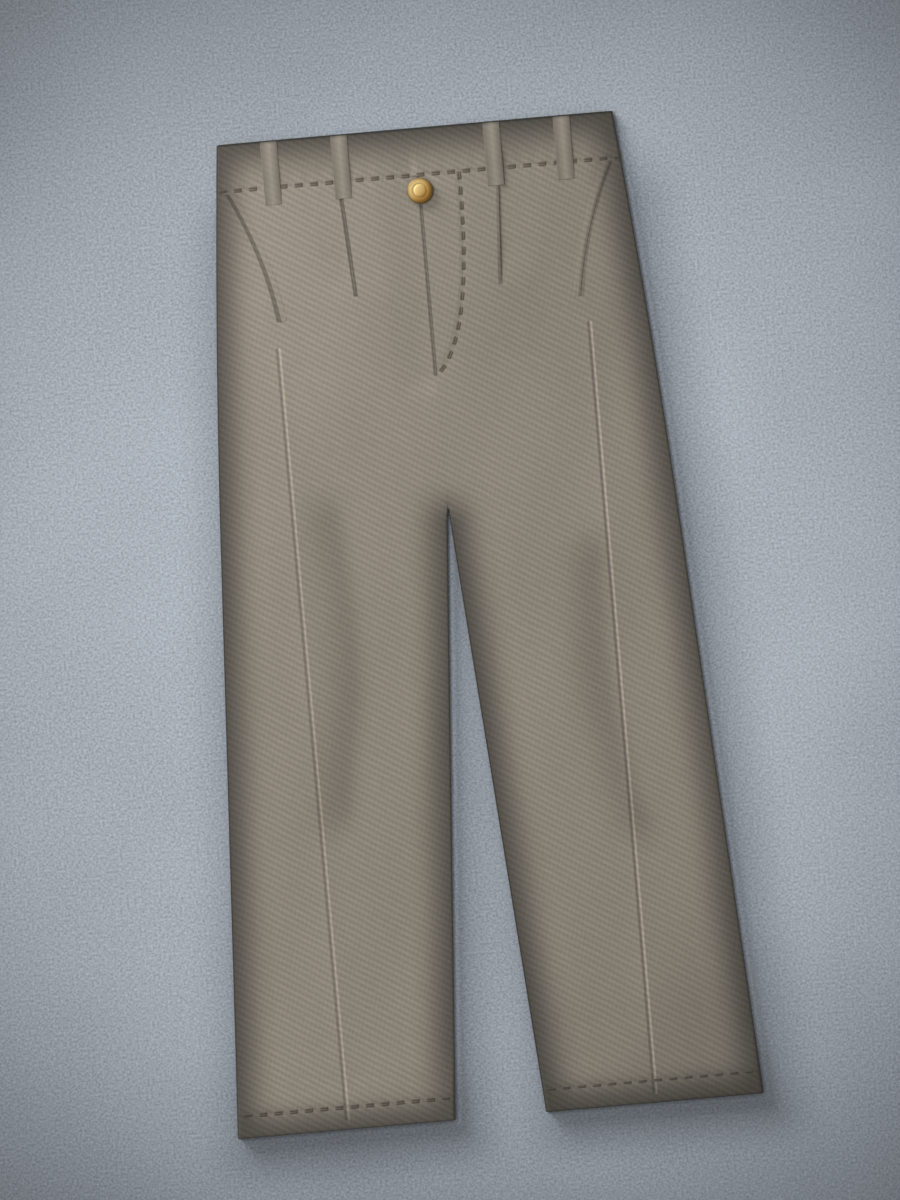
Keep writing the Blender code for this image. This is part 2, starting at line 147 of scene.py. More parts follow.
# %% Creases, knee hollows and long waves
CREASE_HALF_X, CREASE_LEAN, CREASE_REACH = 156 * MM, 0.0024, 9 * MM
CREASE_STARTS, HEM_STIFF = (195 * MM, 235 * MM), (915 * MM, 972 * MM)
KNEE_LINES = {
    # side: rows of (down, half_x)
    "right": MM * np.array([(345, 121), (420, 114), (480, 109), (520, 109), (560, 111), (600, 117),
                            (640, 124), (725, 137)]),
    "left": MM * np.array([(405, 148), (480, 141), (545, 140), (600, 144), (640, 150), (680, 155),
                           (715, 166), (760, 177)]),
}
KNEE_FADE, KNEE_WIDE, KNEE_NARROW = 50 * MM, 26 * MM, 16 * MM
LONG_WAVES = (
    # height, waves per metre across, waves per metre down, start of the wave
    (0.30 * MM, 3.1, 1.3, 1.0), (0.22 * MM, 5.3, -2.9, 2.2), (0.16 * MM, 8.7, 4.1, 0.4),
    (0.10 * MM, 13.0, -6.3, 3.1),
)


def crease_line(down):
    """half_x of the crease: straight, and a little further in at the hem."""
    return CREASE_HALF_X + CREASE_LEAN * (600 * MM - down)


def crease(half_x, down):
    """A ridge that falls off evenly on both sides, as e to the power of minus the distance."""
    pressed = smooth(down, *CREASE_STARTS) * (1 - smooth(down, *HEM_STIFF))
    return pressed * np.exp(-np.abs(half_x - crease_line(down)) / CREASE_REACH)


def knee(half_x, down, side):
    """A soft trough along the knee's line, wider on the viewer's left, which fades in and out."""
    line = KNEE_LINES[side]
    starts, ends = line[0, 0], line[-1, 0]
    fade = smooth(down, starts, starts + KNEE_FADE) * (1 - smooth(down, ends - KNEE_FADE, ends))
    off = SIDE_SIGN[side] * (half_x - column(line, down))
    return fade * bell(off, np.where(off < 0, KNEE_WIDE, KNEE_NARROW))


def long_waves(x, down):
    """The sum of a few slanted sine waves."""
    return sum(high * np.sin(2 * math.pi * (across * x + along * down) + start)
               for high, across, along, start in LONG_WAVES)


print("the long waves reach", round(sum(wave[0] for wave in LONG_WAVES) / MM, 2), "mm up and down")

# %% [markdown]
# ## The fly and its stitched curve
# The left front laps over the right one down to the end of the fly. A curved double row of stitches holds
# the fly's inner layer, which makes the cloth between them a little thicker. The row is a quadratic curve
# through three control points, which is how a pattern cutter's curve ruler would be set.

# %% Fly
FLY_END, FLY_STARTS = 250.6 * MM, (48 * MM, 66 * MM)
FLY_THICKER, FLY_GROOVE = 0.3 * MM, 0.2 * MM
FLY_CURVE = (
    # half_x, down: start, control point, end
    (40.3 * MM, 46.9 * MM), (42.3 * MM, 216.8 * MM), (0.0 * MM, FLY_END),
)


def on_curve(points, share):
    """(1-s)^2 P0 + 2s(1-s) P1 + s^2 P2, for each share s."""
    first, second, third = (np.array(point) for point in points)
    share = np.asarray(share)[..., None]
    return (1 - share) ** 2 * first + 2 * share * (1 - share) * second + share ** 2 * third


FLY_LINE = on_curve(FLY_CURVE, np.linspace(0, 1, 90))
FLY_WALKED = np.append(0.0, np.cumsum(np.linalg.norm(np.diff(FLY_LINE, axis=0), axis=1)))


def fly_form(x, down):
    """Thicker cloth inside the curve, and a groove where the row of stitches pulls it in, by the distance to
    the nearest point of the line. Both start just under the waistband."""
    x, down = np.broadcast_arrays(x, down)
    curve_x = np.interp(down, FLY_LINE[:, 1], FLY_LINE[:, 0])
    inside = smooth(curve_x - x, 0.0, 3 * MM) * smooth(x, -1 * MM, 0.0)
    inside = inside * (1 - smooth(down, 235 * MM, FLY_END))
    to_line = np.hypot(x[..., None] - FLY_LINE[:, 0], down[..., None] - FLY_LINE[:, 1]).min(axis=-1)
    form = FLY_THICKER * inside - FLY_GROOVE * bell(to_line, 2.2 * MM)
    return smooth(down, *FLY_STARTS) * form


print("the fly's row is", round(FLY_WALKED[-1] / MM), "mm long")

# %% [markdown]
# ## The front's outer face
# Everything so far adds up to one height for each place on the front. Rows of stitches sink a little into
# the cloth, so the hem has a shallow groove too, and just under the waistband the seam puckers slightly.

# %% Outer face of the fronts
WAIST_ROW, HEM_ROW, PITCH = 47.4 * MM, 977 * MM, 15.4 * MM    # rows of stitches, and how often one comes
CREASE_HEIGHT, KNEE_DEPTH, PUCKER_HEIGHT = 0.5 * MM, 0.9 * MM, 0.07 * MM


def row_groove(down, row):
    """How deep the cloth is pulled in beside a row of stitches."""
    return 0.15 * MM * bell(down - row, 2.4 * MM)


def front_top(half_x, down, side):
    """The height inside plus its forms, brought down to the edge height towards both edges."""
    x, edge = SIDE_SIGN[side] * half_x, column(EDGE_HEIGHT, down)
    to_side, to_inside = edge_distances(half_x, down)
    swell = risen(to_side - edge / 2) * risen(to_inside - edge / 2)
    height = column(FRONT_HEIGHT, down) + CREASE_HEIGHT * crease(half_x, down)
    height = height - KNEE_DEPTH * knee(half_x, down, side)
    loose = smooth(down, 70 * MM, 200 * MM) * (1 - smooth(down, 940 * MM, HEM_ROW))
    height = height + long_waves(x, down) * loose
    puckers = np.sin(2 * math.pi * x / PITCH) * np.exp(-(down - PANEL_TOP) / (12 * MM))
    height = height + PUCKER_HEIGHT * puckers - row_groove(down, HEM_ROW) - row_groove(down, WAIST_ROW)
    height = height + fly_form(x, down)
    return edge + (height - edge) * swell


print("height on the crease at the knee, mm:", round(float(front_top(CREASE_HALF_X, 0.55, "left")) / MM, 2))

# %% [markdown]
# ## The pleat
# A knife pleat is the cloth folded into a Z: it turns under, runs back, and turns out again below. Here the
# section of the fold is walked step by step: the heading turns evenly through the first bend, stays level,
# and turns back. The pleat is deepest at the waist seam, and as it runs out both bends open until the cloth
# is level again.

# %% Pleat
LAYER, PRESSED_CLOTH = 0.5 * MM, 0.44 * MM      # from one layer to the next, and the thinner cloth there
PLEAT_TOP_X, PLEAT_END_X, PLEAT_END = 80.7 * MM, 73.6 * MM, 164.4 * MM
PLEAT_ROLLS_OUT, PLEAT_DEPTH, PLEAT_DEPTH_END = 112 * MM, 14 * MM, 0.2 * MM
PLEAT_BEND, PLEAT_BEND_OPEN, PLEAT_MIDDLE_OPEN = math.pi * LAYER / 2, 2.0 * MM, 3.5 * MM


def pleat_line(down):
    """half_x of the fold's edge. Below the pleat it goes on midway from the inside edge to the crease."""
    along = np.minimum((down - PANEL_TOP) / (PLEAT_END - PANEL_TOP), 1.0)
    folded = PLEAT_TOP_X + (PLEAT_END_X - PLEAT_TOP_X) * along
    midway = (inner_edge(down) + CREASE_HALF_X) / 2
    return folded + (midway - folded) * smooth(down, PLEAT_END, HIP_DOWN)


def cloth_thickness(half_x, down):
    """CLOTH, but PRESSED_CLOTH where the pleat's three layers lie on each other."""
    off = np.abs(half_x - pleat_line(down) + PLEAT_DEPTH / 2)
    pressed = (1 - smooth(off, 10 * MM, 32 * MM)) * (1 - smooth(down, PLEAT_END, PLEAT_END + 40 * MM))
    return CLOTH - (CLOTH - PRESSED_CLOTH) * pressed


def pleat_path(down, steps):
    """Running sums of short steps along a heading: a bend down, a level stretch and a bend back."""
    opened = np.clip((down - PLEAT_ROLLS_OUT) / (PLEAT_END - PLEAT_ROLLS_OUT), 0.0, 1.0)
    angle = math.pi * (1 - opened)
    below = smooth(down, PLEAT_END, PLEAT_END + 60 * MM)
    bend = PLEAT_BEND * (1 - 0.45 * opened) + PLEAT_BEND_OPEN * below
    deep = np.maximum((PLEAT_ROLLS_OUT - down) / (PLEAT_ROLLS_OUT - PANEL_TOP), 0.0)
    middle = PLEAT_DEPTH_END + (PLEAT_DEPTH - PLEAT_DEPTH_END) * deep
    middle = middle + PLEAT_MIDDLE_OPEN * below
    turn = (np.arange(steps) + 0.5) / steps * angle
    heading = np.hstack([-turn, -angle, turn - angle])
    step = np.repeat(bend / steps, steps, axis=1)
    lengths = np.hstack([step, middle, step])
    return np.cumsum(lengths * np.cos(heading), axis=1), np.cumsum(lengths * np.sin(heading), axis=1)


fold_rise = pleat_path(np.array([[PANEL_TOP]]), 8)[1]
print("at the waist the pleat drops", round(-fold_rise[0, -1] / MM, 2), "mm through its layers")

# %% [markdown]
# ## A rounded side edge
# Front and back meet at mid-height of each side in a seam. The front's edge is a quarter turn down to it,
# with a short upright stretch that pulls in slightly, as a seam does. The back has the same edge turned over.

# %% Side edge
SEAM_GAP = 0.2 * MM
SEAM_UPRIGHT = 0.9 * MM
SEAM_PULL = 0.35 * MM


def rim(radius, count):
    """Distances in from the edge and heights: the seam's upright stretch and a quarter turn."""
    middle = radius - CLOTH / 2
    low = np.arcsin(SEAM_UPRIGHT / middle)
    angle = low + (math.pi / 2 - low) * np.linspace(0, 1, count)
    across, height = radius - middle * np.cos(angle), radius + middle * np.sin(angle)
    rise = SEAM_UPRIGHT * np.array([0.0, 0.35, 0.65])
    pull = SEAM_PULL * np.array([1.0, 0.4, 0.1])
    return np.hstack([across[:, :1] + pull, across]), np.hstack([radius + SEAM_GAP / 2 + rise, height])


print("a side edge has", rim(np.array([[2.4 * MM]]), 7)[0].shape[1], "points from seam to crown")

# %% [markdown]
# ## One front as a grid
# A row of the grid is one section across the leg: inside edge, cloth up to the pleat, the fold, cloth to the
# crease and on to the side seam. Columns crowd where the form is tight, at the fold and at the crease.
# Because every column is a formula of "down", the whole leg is worked out at once as arrays.

# %% Front surface
CROTCH_OPENS = (378 * MM, 410 * MM)
CENTRE_GAP = 0.03 * MM
FLY_UNDER, FLY_NARROWS, FLY_CLOSES = 12 * MM, (222 * MM, 246 * MM), (250.6 * MM, 275 * MM)
FLY_STEP, FLY_DIP = CLOTH + 0.1 * MM, 45 * MM
PLEAT_SETTLES = (64 * MM, 34 * MM)  # how far the low side runs, at the waist and at the pleat's end


def inside_columns(down, radius, level):
    """Level cloth at the centre seam, which turns into a rounded edge below the crotch."""
    rim_in, rim_up = rim(radius, 6)
    turned = smooth(down, *CROTCH_OPENS)
    flat_in = between(CENTRE_GAP / 2, radius, np.linspace(0, 1, rim_in.shape[1]))
    spread = 4 * turned * (1 - turned) * CLOTH / 3
    across = inner_edge(down) + turned * rim_in + (1 - turned) * flat_in + spread
    return across, turned * rim_up + (1 - turned) * level(across)


def points_at(x, down, height):
    """Points in the garment's own place."""
    return np.stack(np.broadcast_arrays(x, LENGTH / 2 - down, height), axis=-1)


def placed(across, down, height, side):
    """Points of one half, with columns that always run to +X."""
    points = points_at(SIDE_SIGN[side] * across, down, height)
    return points if side == "left" else points[:, ::-1]


def front_surface(down, side):
    """Middle of a front's cloth: rows by columns of points."""
    down = down[:, None]
    radius = column(EDGE_HEIGHT, down) / 2

    def level(across):
        return front_top(across, down, side) - cloth_thickness(across, down) / 2

    first_x, first_z = inside_columns(down, radius, level)
    beside_fly = first_x[:, -1:] + 1 * MM
    upper_x = between(beside_fly, pleat_line(down) - (LAYER + PRESSED_CLOTH) / 2, np.linspace(0, 1, 42))
    fold_x, folded = pleat_path(down, 7)
    fold_x = upper_x[:, -1:] + fold_x
    fold_z = level(fold_x) + folded
    clear = np.maximum(pleat_line(down), fold_x[:, -1:]) + 1 * MM
    near_crease, past_crease = crease_line(down) - 8 * MM, crease_line(down) + 8 * MM
    last_in, last_up = rim(radius, 6)
    beside_x = np.hstack([
        between(clear, near_crease, np.linspace(0, 1, 28) ** 1.5),
        between(near_crease, past_crease, np.linspace(0, 1, 25)[1:]),
        between(past_crease, outer_edge(down) - radius, np.linspace(0, 1, 26)[1:-1]),
    ])
    settles = np.interp(down, (PANEL_TOP, PLEAT_END), PLEAT_SETTLES)
    beside_z = level(beside_x) + folded[:, -1:] * (1 - smooth(beside_x - pleat_line(down), 0.0, settles))
    across = np.hstack([first_x, upper_x, fold_x, beside_x, outer_edge(down) - last_in[:, ::-1]])
    height = np.hstack([first_z, level(upper_x), fold_z, beside_z, last_up[:, ::-1]])
    if side == "right":  # it runs on under the left front, one layer lower
        low = first_x.shape[1] + 1
        reach = FLY_UNDER * (1 - smooth(down, *FLY_NARROWS))
        dip = FLY_STEP * (1 - smooth(down, *FLY_CLOSES))
        height = height - dip * (1 - smooth(across, beside_fly, beside_fly + FLY_DIP))
        across[:, :low] -= reach * (1 - np.linspace(0, 1, low))
    return placed(across, down, height, side)


print("a front's grid has", front_surface(np.array([0.1]), "left").shape[1], "columns")

# %% [markdown]
# ## One back as a grid
# The back is what the garment lies on, so it is flat on the surface with its edges turned up to the seams.
# Where it lies on a belt loop it stands up a little, and its rows of stitches lie in shallow grooves, so
# that the thread is level with the cloth.

# %% Back surface
LOOP_WIDTH, LOOP_TO = 17 * MM, 65.1 * MM
LOOP_BACK_X, LOOP_BACK_CLOTH = (-118 * MM, 0.0, 118 * MM), 1.2 * MM


def loop_lift(half_x, down):
    """How much the back stands up over the nearest belt loop."""
    off = np.minimum.reduce([np.abs(half_x - abs(x)) for x in LOOP_BACK_X]) - LOOP_WIDTH / 2
    lift = (1 - smooth(off, 0.0, 14 * MM)) * (1 - smooth(down, LOOP_TO, LOOP_TO + 14 * MM))
    return (LOOP_BACK_CLOTH + 0.2 * MM) * lift


def underside(half_x, down):
    """The back's lower face: level, with grooves for stitches, and up over the loops."""
    groove = 0.6 * MM * (bell(down - WAIST_ROW, 2.6 * MM) + bell(down - HEM_ROW, 2.6 * MM))
    return np.maximum(groove, loop_lift(half_x, down))


def back_surface(down, side):
    """Middle of a back's cloth: rows by columns of points."""
    down = down[:, None]
    radius = column(EDGE_HEIGHT, down) / 2

    def level(across):
        return 2 * radius - CLOTH / 2 - underside(across, down)

    first_x, first_z = inside_columns(down, radius, level)
    last_in, last_up = rim(radius, 6)
    middle_x = between(first_x[:, -1:], outer_edge(down) - radius, np.linspace(0, 1, 58)[1:-1])
    across = np.hstack([first_x, middle_x, outer_edge(down) - last_in[:, ::-1]])
    height = np.hstack([first_z, level(middle_x), last_up[:, ::-1]])
    return placed(across, down, 2 * radius - height, side)


print("a back's grid has", back_surface(np.array([0.1]), "left").shape[1], "columns")

# %% [markdown]
# ## The hem
# A hem is the leg's own cloth turned up inside and stitched. The grid does the same: its rows run to the
# bottom, round a half turn, and back up inside at a constant distance from the outer layer. The distance is
# measured along the surface's normal, so the inner layer follows every form of the outer one.

# %% Turned-up hem
HEM_FOLD = 0.7 * MM          # radius of the half turn
HEM_ENDS = HEM_ROW - 3 * MM


def unit(vectors):
    """Each vector divided by its own length."""
    return vectors / np.maximum(np.linalg.norm(vectors, axis=-1, keepdims=True), 1e-12)


def heading(points, axis):
    """Direction of a grid's lines: the mean of the unit steps before and after each point."""
    steps = unit(np.diff(points, axis=axis))
    first, last = np.take(steps, [0], axis=axis), np.take(steps, [-1], axis=axis)
    return unit(np.concatenate([first, steps], axis) + np.concatenate([steps, last], axis))


def normals(points):
    """Down the rows crossed with along the columns."""
    return unit(np.cross(heading(points, 0), heading(points, 1)))


def with_hem(surface, rows, side, inward):
    """The leg's rows, a half turn at the bottom, and rows back up inside. inward is +1 or -1, along or
    against the normals."""
    bottom = LENGTH - CLOTH / 2 - HEM_FOLD
    leg = surface(np.append(rows[rows < bottom - 1 * MM], bottom), side)
    out, normal = heading(leg, 0)[-1], inward * normals(leg)[-1]
    turn = np.linspace(0, math.pi, 8)[1:-1, None, None]
    fold = leg[-1] + HEM_FOLD * ((1 - np.cos(turn)) * normal + np.sin(turn) * out)
    inner = surface(np.linspace(HEM_ENDS, bottom, 6), side)
    inner = (inner + 2 * HEM_FOLD * inward * normals(inner))[::-1]
    return np.concatenate([leg, fold, inner])


print("the hem is turned up by", round((LENGTH - HEM_ENDS) / MM), "mm and its row is at", HEM_ROW / MM, "mm")

# %% [markdown]
# ## From a surface to cloth with two faces
# Solidify could thicken the grids, but it leaves square edges. This shell is the middle surface moved out
# by half the cloth on each side, with a small rounded edge between the two faces all the way round. Where
# two pieces meet edge to edge, the roundness is set to nothing and the corner is marked sharp, so that no
# groove shows.

# %% Closed shell
def show(name, data):
    """A new object in the scene."""
    thing = bpy.data.objects.new(name, data)
    bpy.context.scene.collection.objects.link(thing)
    return thing


def quads(index, closed=False):
    """Four-sided faces of a grid of vertex numbers. If closed, its last column meets its first."""
    if closed:
        index = np.concatenate([index, index[..., :1]], axis=-1)
    corners = [index[..., :-1, :-1], index[..., 1:, :-1], index[..., 1:, 1:], index[..., :-1, 1:]]
    return np.stack(corners, axis=-1).reshape(-1, 4)


def closed_shell(name, points, thickness, edges, steps=3):
    """Both faces at P + N t/2 and P - N t/2, joined round the border by part of an ellipse,
    P + N t/2 cos(a) + T e sin(a). edges gives e for the first row, last row, first and last column."""
    rows, columns = points.shape[:2]
    count = rows * columns
    half = np.broadcast_to(thickness / 2, (rows, columns))[..., None]
    normal = normals(points)
    out = np.zeros_like(points)
    down_rows, along_columns = heading(points, 0), heading(points, 1)
    out[0] -= down_rows[0] * np.reshape(edges[0], (-1, 1))
    out[-1] += down_rows[-1] * np.reshape(edges[1], (-1, 1))
    out[:, 0] -= along_columns[:, 0] * np.reshape(edges[2], (-1, 1))
    out[:, -1] += along_columns[:, -1] * np.reshape(edges[3], (-1, 1))
    index = np.arange(count).reshape(rows, columns)
    border = np.concatenate([index[0, :-1], index[:-1, -1], index[-1, :0:-1], index[:0:-1, 0]])
    angle = math.pi * np.arange(1, steps) / steps
    p, n, h, o = (a.reshape(count, -1)[border] for a in (points, normal, half, out))
    rings = [p + n * h * math.cos(a) + o * math.sin(a) for a in angle]
    faces_out = [(points + normal * half).reshape(-1, 3), (points - normal * half).reshape(-1, 3)]
    places = np.concatenate([*faces_out, *rings])
    round_edge = 2 * count + np.arange(len(rings) * len(border)).reshape(len(rings), -1)
    loops = np.vstack([border, round_edge, border + count])
    face = quads(index)
    joined = quads(np.vstack([loops.T, loops.T[:1]]))
    mesh = new_mesh(name, places, np.concatenate([face, face[:, ::-1] + count, joined]))
    flat = np.linalg.norm(o, axis=1) < 1e-9
    corner = ~flat & (np.roll(flat, 1) | np.roll(flat, -1))
    square = np.zeros(len(places), dtype=bool)
    square[np.concatenate([border, border + count])[np.tile(flat | corner, 2)]] = True
    square[2 * count:] = np.tile(corner, len(rings))
    ends = np.empty(2 * len(mesh.edges), dtype=np.int32)
    mesh.edges.foreach_get("vertices", ends)
    creases = mesh.attributes.new("sharp_edge", "BOOLEAN", "EDGE")
    creases.data.foreach_set("value", square[ends.reshape(-1, 2)].all(axis=1))
    return mesh


def new_mesh(name, places, faces):
    """A smooth mesh from arrays of points and four-sided faces."""
    mesh = bpy.data.meshes.new(name)
    mesh.vertices.add(len(places))
    mesh.vertices.foreach_set("co", np.ascontiguousarray(places, dtype=np.float32).ravel())
    mesh.loops.add(faces.size)
    mesh.loops.foreach_set("vertex_index", np.ascontiguousarray(faces, dtype=np.int32).ravel())
    mesh.polygons.add(len(faces))
    mesh.polygons.foreach_set("loop_start", np.arange(0, faces.size, 4, dtype=np.int32))
    mesh.polygons.foreach_set("use_smooth", np.ones(len(faces), dtype=bool))
    mesh.update(calc_edges=True)
    return mesh


print("tools for cloth shells are ready")

# %% [markdown]
# ## Painted shade at the seams
# The cloth is painted darker at its seams and edges, as painted shade, and the tone evens out over about
# 40 mm. It is kept on the mesh as a number at each vertex, worked out from the distances to the edges. The
# knee hollows carry a little painted shade too.

# %% Tone of the cloth
EDGE_SHARES = (MM, 1) * np.array([
    # mm from an edge, share of the full darkening
    (0, 1.0), (2, 0.97), (4, 0.92), (8, 0.83), (12, 0.74), (16, 0.62), (20, 0.50), (24, 0.37), (28, 0.25),
    (32, 0.155), (36, 0.08), (44, 0.0),
])
# Painted shade at the edges, stronger on those towards the window. A thin painted line at the border is
# darker towards the window; the minus paints it lighter on the other edges.
WINDOW_EDGE_SHADE, FAR_EDGE_SHADE = 0.75, 0.65    # full darkening of the edges towards the window, and of the others
BORDER, WINDOW_BORDER_SHADE, FAR_BORDER_SHADE = (0.9 * MM, 2.3 * MM), 0.80, -0.22
# Painted shade in the knee hollows and on the left leg's lower outer side, and painted light on the upper
# part towards the window.
KNEE_SHADE, OUTER_SHADE, WINDOW_LIGHT = 0.23, 0.16, 0.07
INSIDE_STARTS = (355 * MM, 402 * MM)
# Painted light and shade that changes down each leg.
PAINTED_LIGHT_DOWN_LEGS = {
    # side: rows of (down in mm, how much lighter it is painted)
    "right": (MM, 1) * np.array([(700, 0.0), (900, 0.07), (960, 0.06), (1000, -0.04)]),
    "left": (MM, 1) * np.array([(480, 0.0), (640, 0.06), (860, 0.05), (960, -0.04), (1000, -0.18)]),
}


def cloth_tone(places):
    """1 less the painted shade: the shares a, b... of the edges add up as 1 - (1-a)(1-b)..., and their full
    darkening is averaged by share. A thin painted line follows the border, darker towards the window and
    painted a little paler elsewhere. The knees and the left leg's lower outer side are painted darker too,
    the upper part is painted a little paler towards the window, and each leg has its own painted lightness
    downwards."""
    x, half_x, down = places[:, 0], np.abs(places[:, 0]), LENGTH / 2 - places[:, 1]
    distances = np.stack([outer_edge(down) - half_x, half_x - inner_edge(down), down, (LENGTH - down) * 1.1])
    towards = np.stack([x < 0, x > 0, down > 0, down < 0])
    shares, border = column(EDGE_SHARES, distances), 1 - smooth(distances, *BORDER)
    shares[1] *= smooth(down, *INSIDE_STARTS)
    border[1] *= down > CROTCH_DOWN
    dark = (shares * np.where(towards, WINDOW_EDGE_SHADE, FAR_EDGE_SHADE)).sum(axis=0) / np.maximum(shares.sum(axis=0), 1e-9)
    tone = 1 - dark * (1 - np.prod(1 - shares, axis=0))
    tone = tone * (1 - (border * np.where(towards, WINDOW_BORDER_SHADE, FAR_BORDER_SHADE)).max(axis=0))
    for side, sign in SIDE_SIGN.items():
        own = x * sign > 0
        tone = tone * (1 - KNEE_SHADE * knee(half_x, down, side) * own)
        tone = tone * (1 + column(PAINTED_LIGHT_DOWN_LEGS[side], down) * own)
    tone = tone * (1 - WINDOW_LIGHT * np.clip(x / (100 * MM), -1, 1) * (1 - smooth(down, 200 * MM, 340 * MM)))
    return tone * (1 - OUTER_SHADE * smooth(down, 700 * MM, 960 * MM) * smooth(x, 110 * MM, 220 * MM))


def tint(mesh, tones=cloth_tone):
    """Keeps the painted shade as a number at each vertex, which the material reads by name."""
    places = np.empty(len(mesh.vertices) * 3, dtype=np.float32)
    mesh.vertices.foreach_get("co", places)
    kept = mesh.attributes.new("tone", "FLOAT", "POINT")
    kept.data.foreach_set("value", tones(places.reshape(-1, 3).astype(float)).astype(np.float32))
    return mesh


print("darkening 20 mm inside a seam:", round(FAR_EDGE_SHADE * float(column(EDGE_SHARES, 20 * MM)), 2))

# %% [markdown]
# ## Shader maths in plain Python
# A material is a graph of nodes. Wiring each Math node by hand hides the idea, so a small class wraps a
# node's output and gives it the usual operators: an expression on such values adds its nodes. One method
# adds any other node from its type, its settings and what feeds its sockets.

# %% Values and finishes
class Value:
    """One number, vector or colour on its way through a finish."""

    def __init__(self, finish, socket):
        self.finish, self.socket = finish, socket

    def maths(self, operation, *others):
        return self.finish.node("ShaderNodeMath", {"operation": operation}, dict(enumerate((self, *others))))

    def __add__(self, other):
        return self.maths("ADD", other)

    def __mul__(self, other):
        return self.maths("MULTIPLY", other)

    def __sub__(self, other):
        return self.maths("SUBTRACT", other)

    def __rsub__(self, other):
        return self.finish.node("ShaderNodeMath", {"operation": "SUBTRACT"}, {0: other, 1: self})

    def __truediv__(self, other):
        return self.maths("DIVIDE", other)

    def __abs__(self):
        return self.maths("ABSOLUTE")

    __radd__, __rmul__ = __add__, __mul__

    def rises(self, low, high):
        """0 below low, 1 above high, smooth between."""
        return self.finish.node("ShaderNodeMapRange", {"interpolation_type": "SMOOTHSTEP"},
                                {"Value": self, "From Min": low, "From Max": high})

    def within(self, half_width, soft=0.5 * MM):
        """1 where this distance is under half_width, with a soft border."""
        return 1 - (abs(self) - half_width).rises(-soft, soft)


class Finish:
    """A material while it is being made."""

    def __init__(self, name, colour):
        self.material = bpy.data.materials.new(name)
        self.material.use_nodes = True
        self.material.diffuse_color = (*colour, 1.0)
        self.tree = self.material.node_tree
        self.shader = self.tree.nodes["Principled BSDF"]
        self.place = self.node("ShaderNodeTexCoord", output="Object")

    def node(self, kind, settings=None, feeds=None, output=0):
        """Adds a node, sets it, then feeds its sockets with values or plain numbers."""
        made = self.tree.nodes.new(kind)
        for name, setting in (settings or {}).items():
            setattr(made, name, setting)
        for socket, value in (feeds or {}).items():
            self.feed(made.inputs[socket], value)
        return Value(self, made.outputs[output])

    def feed(self, socket, value):
        if isinstance(value, Value):
            self.tree.links.new(value.socket, socket)
        else:
            socket.default_value = value

    def surface(self, **sockets):
        """Feeds the shader's own sockets, named with _ for a space."""
        for name, value in sockets.items():
            self.feed(self.shader.inputs[name.replace("_", " ")], value)
        return self.material

    def parts(self, vector):
        """x, y and z of a vector."""
        split = self.node("ShaderNodeSeparateXYZ", feeds={0: vector})
        return [Value(self, output) for output in split.socket.node.outputs]

    def noise(self, scale, detail=2.0, vector=None, roughness=0.5):
        """Smooth noise from 0 to 1, with scale patches to the metre."""
        return self.node("ShaderNodeTexNoise", feeds={"Vector": vector or self.place, "Scale": scale,
                                                      "Detail": detail, "Roughness": roughness})

    def shaded(self, colour, factor):
        """A colour times a number."""
        return self.node("ShaderNodeVectorMath", {"operation": "SCALE"}, {0: colour, "Scale": factor})

    def mixed(self, factor, first, second):
        """One colour turning into another."""
        return self.node("ShaderNodeMix", {"data_type": "RGBA"}, {0: factor, 6: first, 7: second}, 2)

    def bumped(self, height):
        """A normal bent by a height in metres."""
        return self.node("ShaderNodeBump", feeds={"Height": height, "Strength": 1.0, "Distance": 1.0})

    def tone(self):
        """The painted shade kept at each vertex."""
        return self.node("ShaderNodeAttribute", {"attribute_name": "tone"}, output="Fac")


print("finishes can be written as expressions")

# %% [markdown]
# ## Twill
# Twill is woven so that the threads cross in steps, which leaves slanting ribs, called wales. Here they
# fall to the viewer's right by 32 degrees, and each rib is broken into short lengths. A sine across the
# ribs gives them, a stretched noise breaks them, and a finer wave crosses them for the other set of
# threads. The same pattern moves the colour a little and lifts the surface a little.

# %% Twill weave
WALE_PITCH, WALE_SLOPE = 5.76 * MM, math.radians(32)
WALE_HEIGHT = 0.05 * MM
TWILL_COLOUR = (0.262, 0.231, 0.187)


def twill(finish):
    """Colour factor and height of the weave, from the place on the cloth."""
    x, y, z = finish.parts(finish.place)
    drift = (finish.noise(22.0) - 0.5) * 2.4 * MM
    across = x * math.sin(WALE_SLOPE) + y * math.cos(WALE_SLOPE) + drift
    along = x * math.cos(WALE_SLOPE) - y * math.sin(WALE_SLOPE)
    wale = (across * (2 * math.pi / WALE_PITCH)).maths("SINE")
    stretched = finish.node("ShaderNodeCombineXYZ", feeds={0: along * 55.0, 1: across * 190.0})
    broken = finish.noise(1.0, 2.0, stretched, 0.6)
    yarns = ((x * 0.97 - y * 0.25) * (2 * math.pi / (4.3 * MM))).maths("SINE")
    fuzz = finish.noise(400.0, 2.0, roughness=0.7) - 0.5
    patches = finish.noise(7.0, 3.0) - 0.5
    factor = (1 + wale * (broken * 0.235 - 0.012) + (broken - 0.5) * 0.09 + yarns * 0.02
              + fuzz * 0.24 + patches * 0.07)
    height = (wale * (broken + 0.3) + yarns * 0.3 + fuzz * 1.2) * WALE_HEIGHT
    return x, y, factor, height


print("wales per 100 mm:", round(100 * MM / WALE_PITCH, 1))

# %% [markdown]
# ## Painted lines on the fronts
# Where cloth folds over cloth, a dark line of painted shade runs along the fly, under each pleat's edge
# and along each pocket mouth. The crease gets a painted highlight with a line of painted shade beside it.
# Each is a distance from a formula's line, turned into a soft stripe, so it stays crisp at any size.

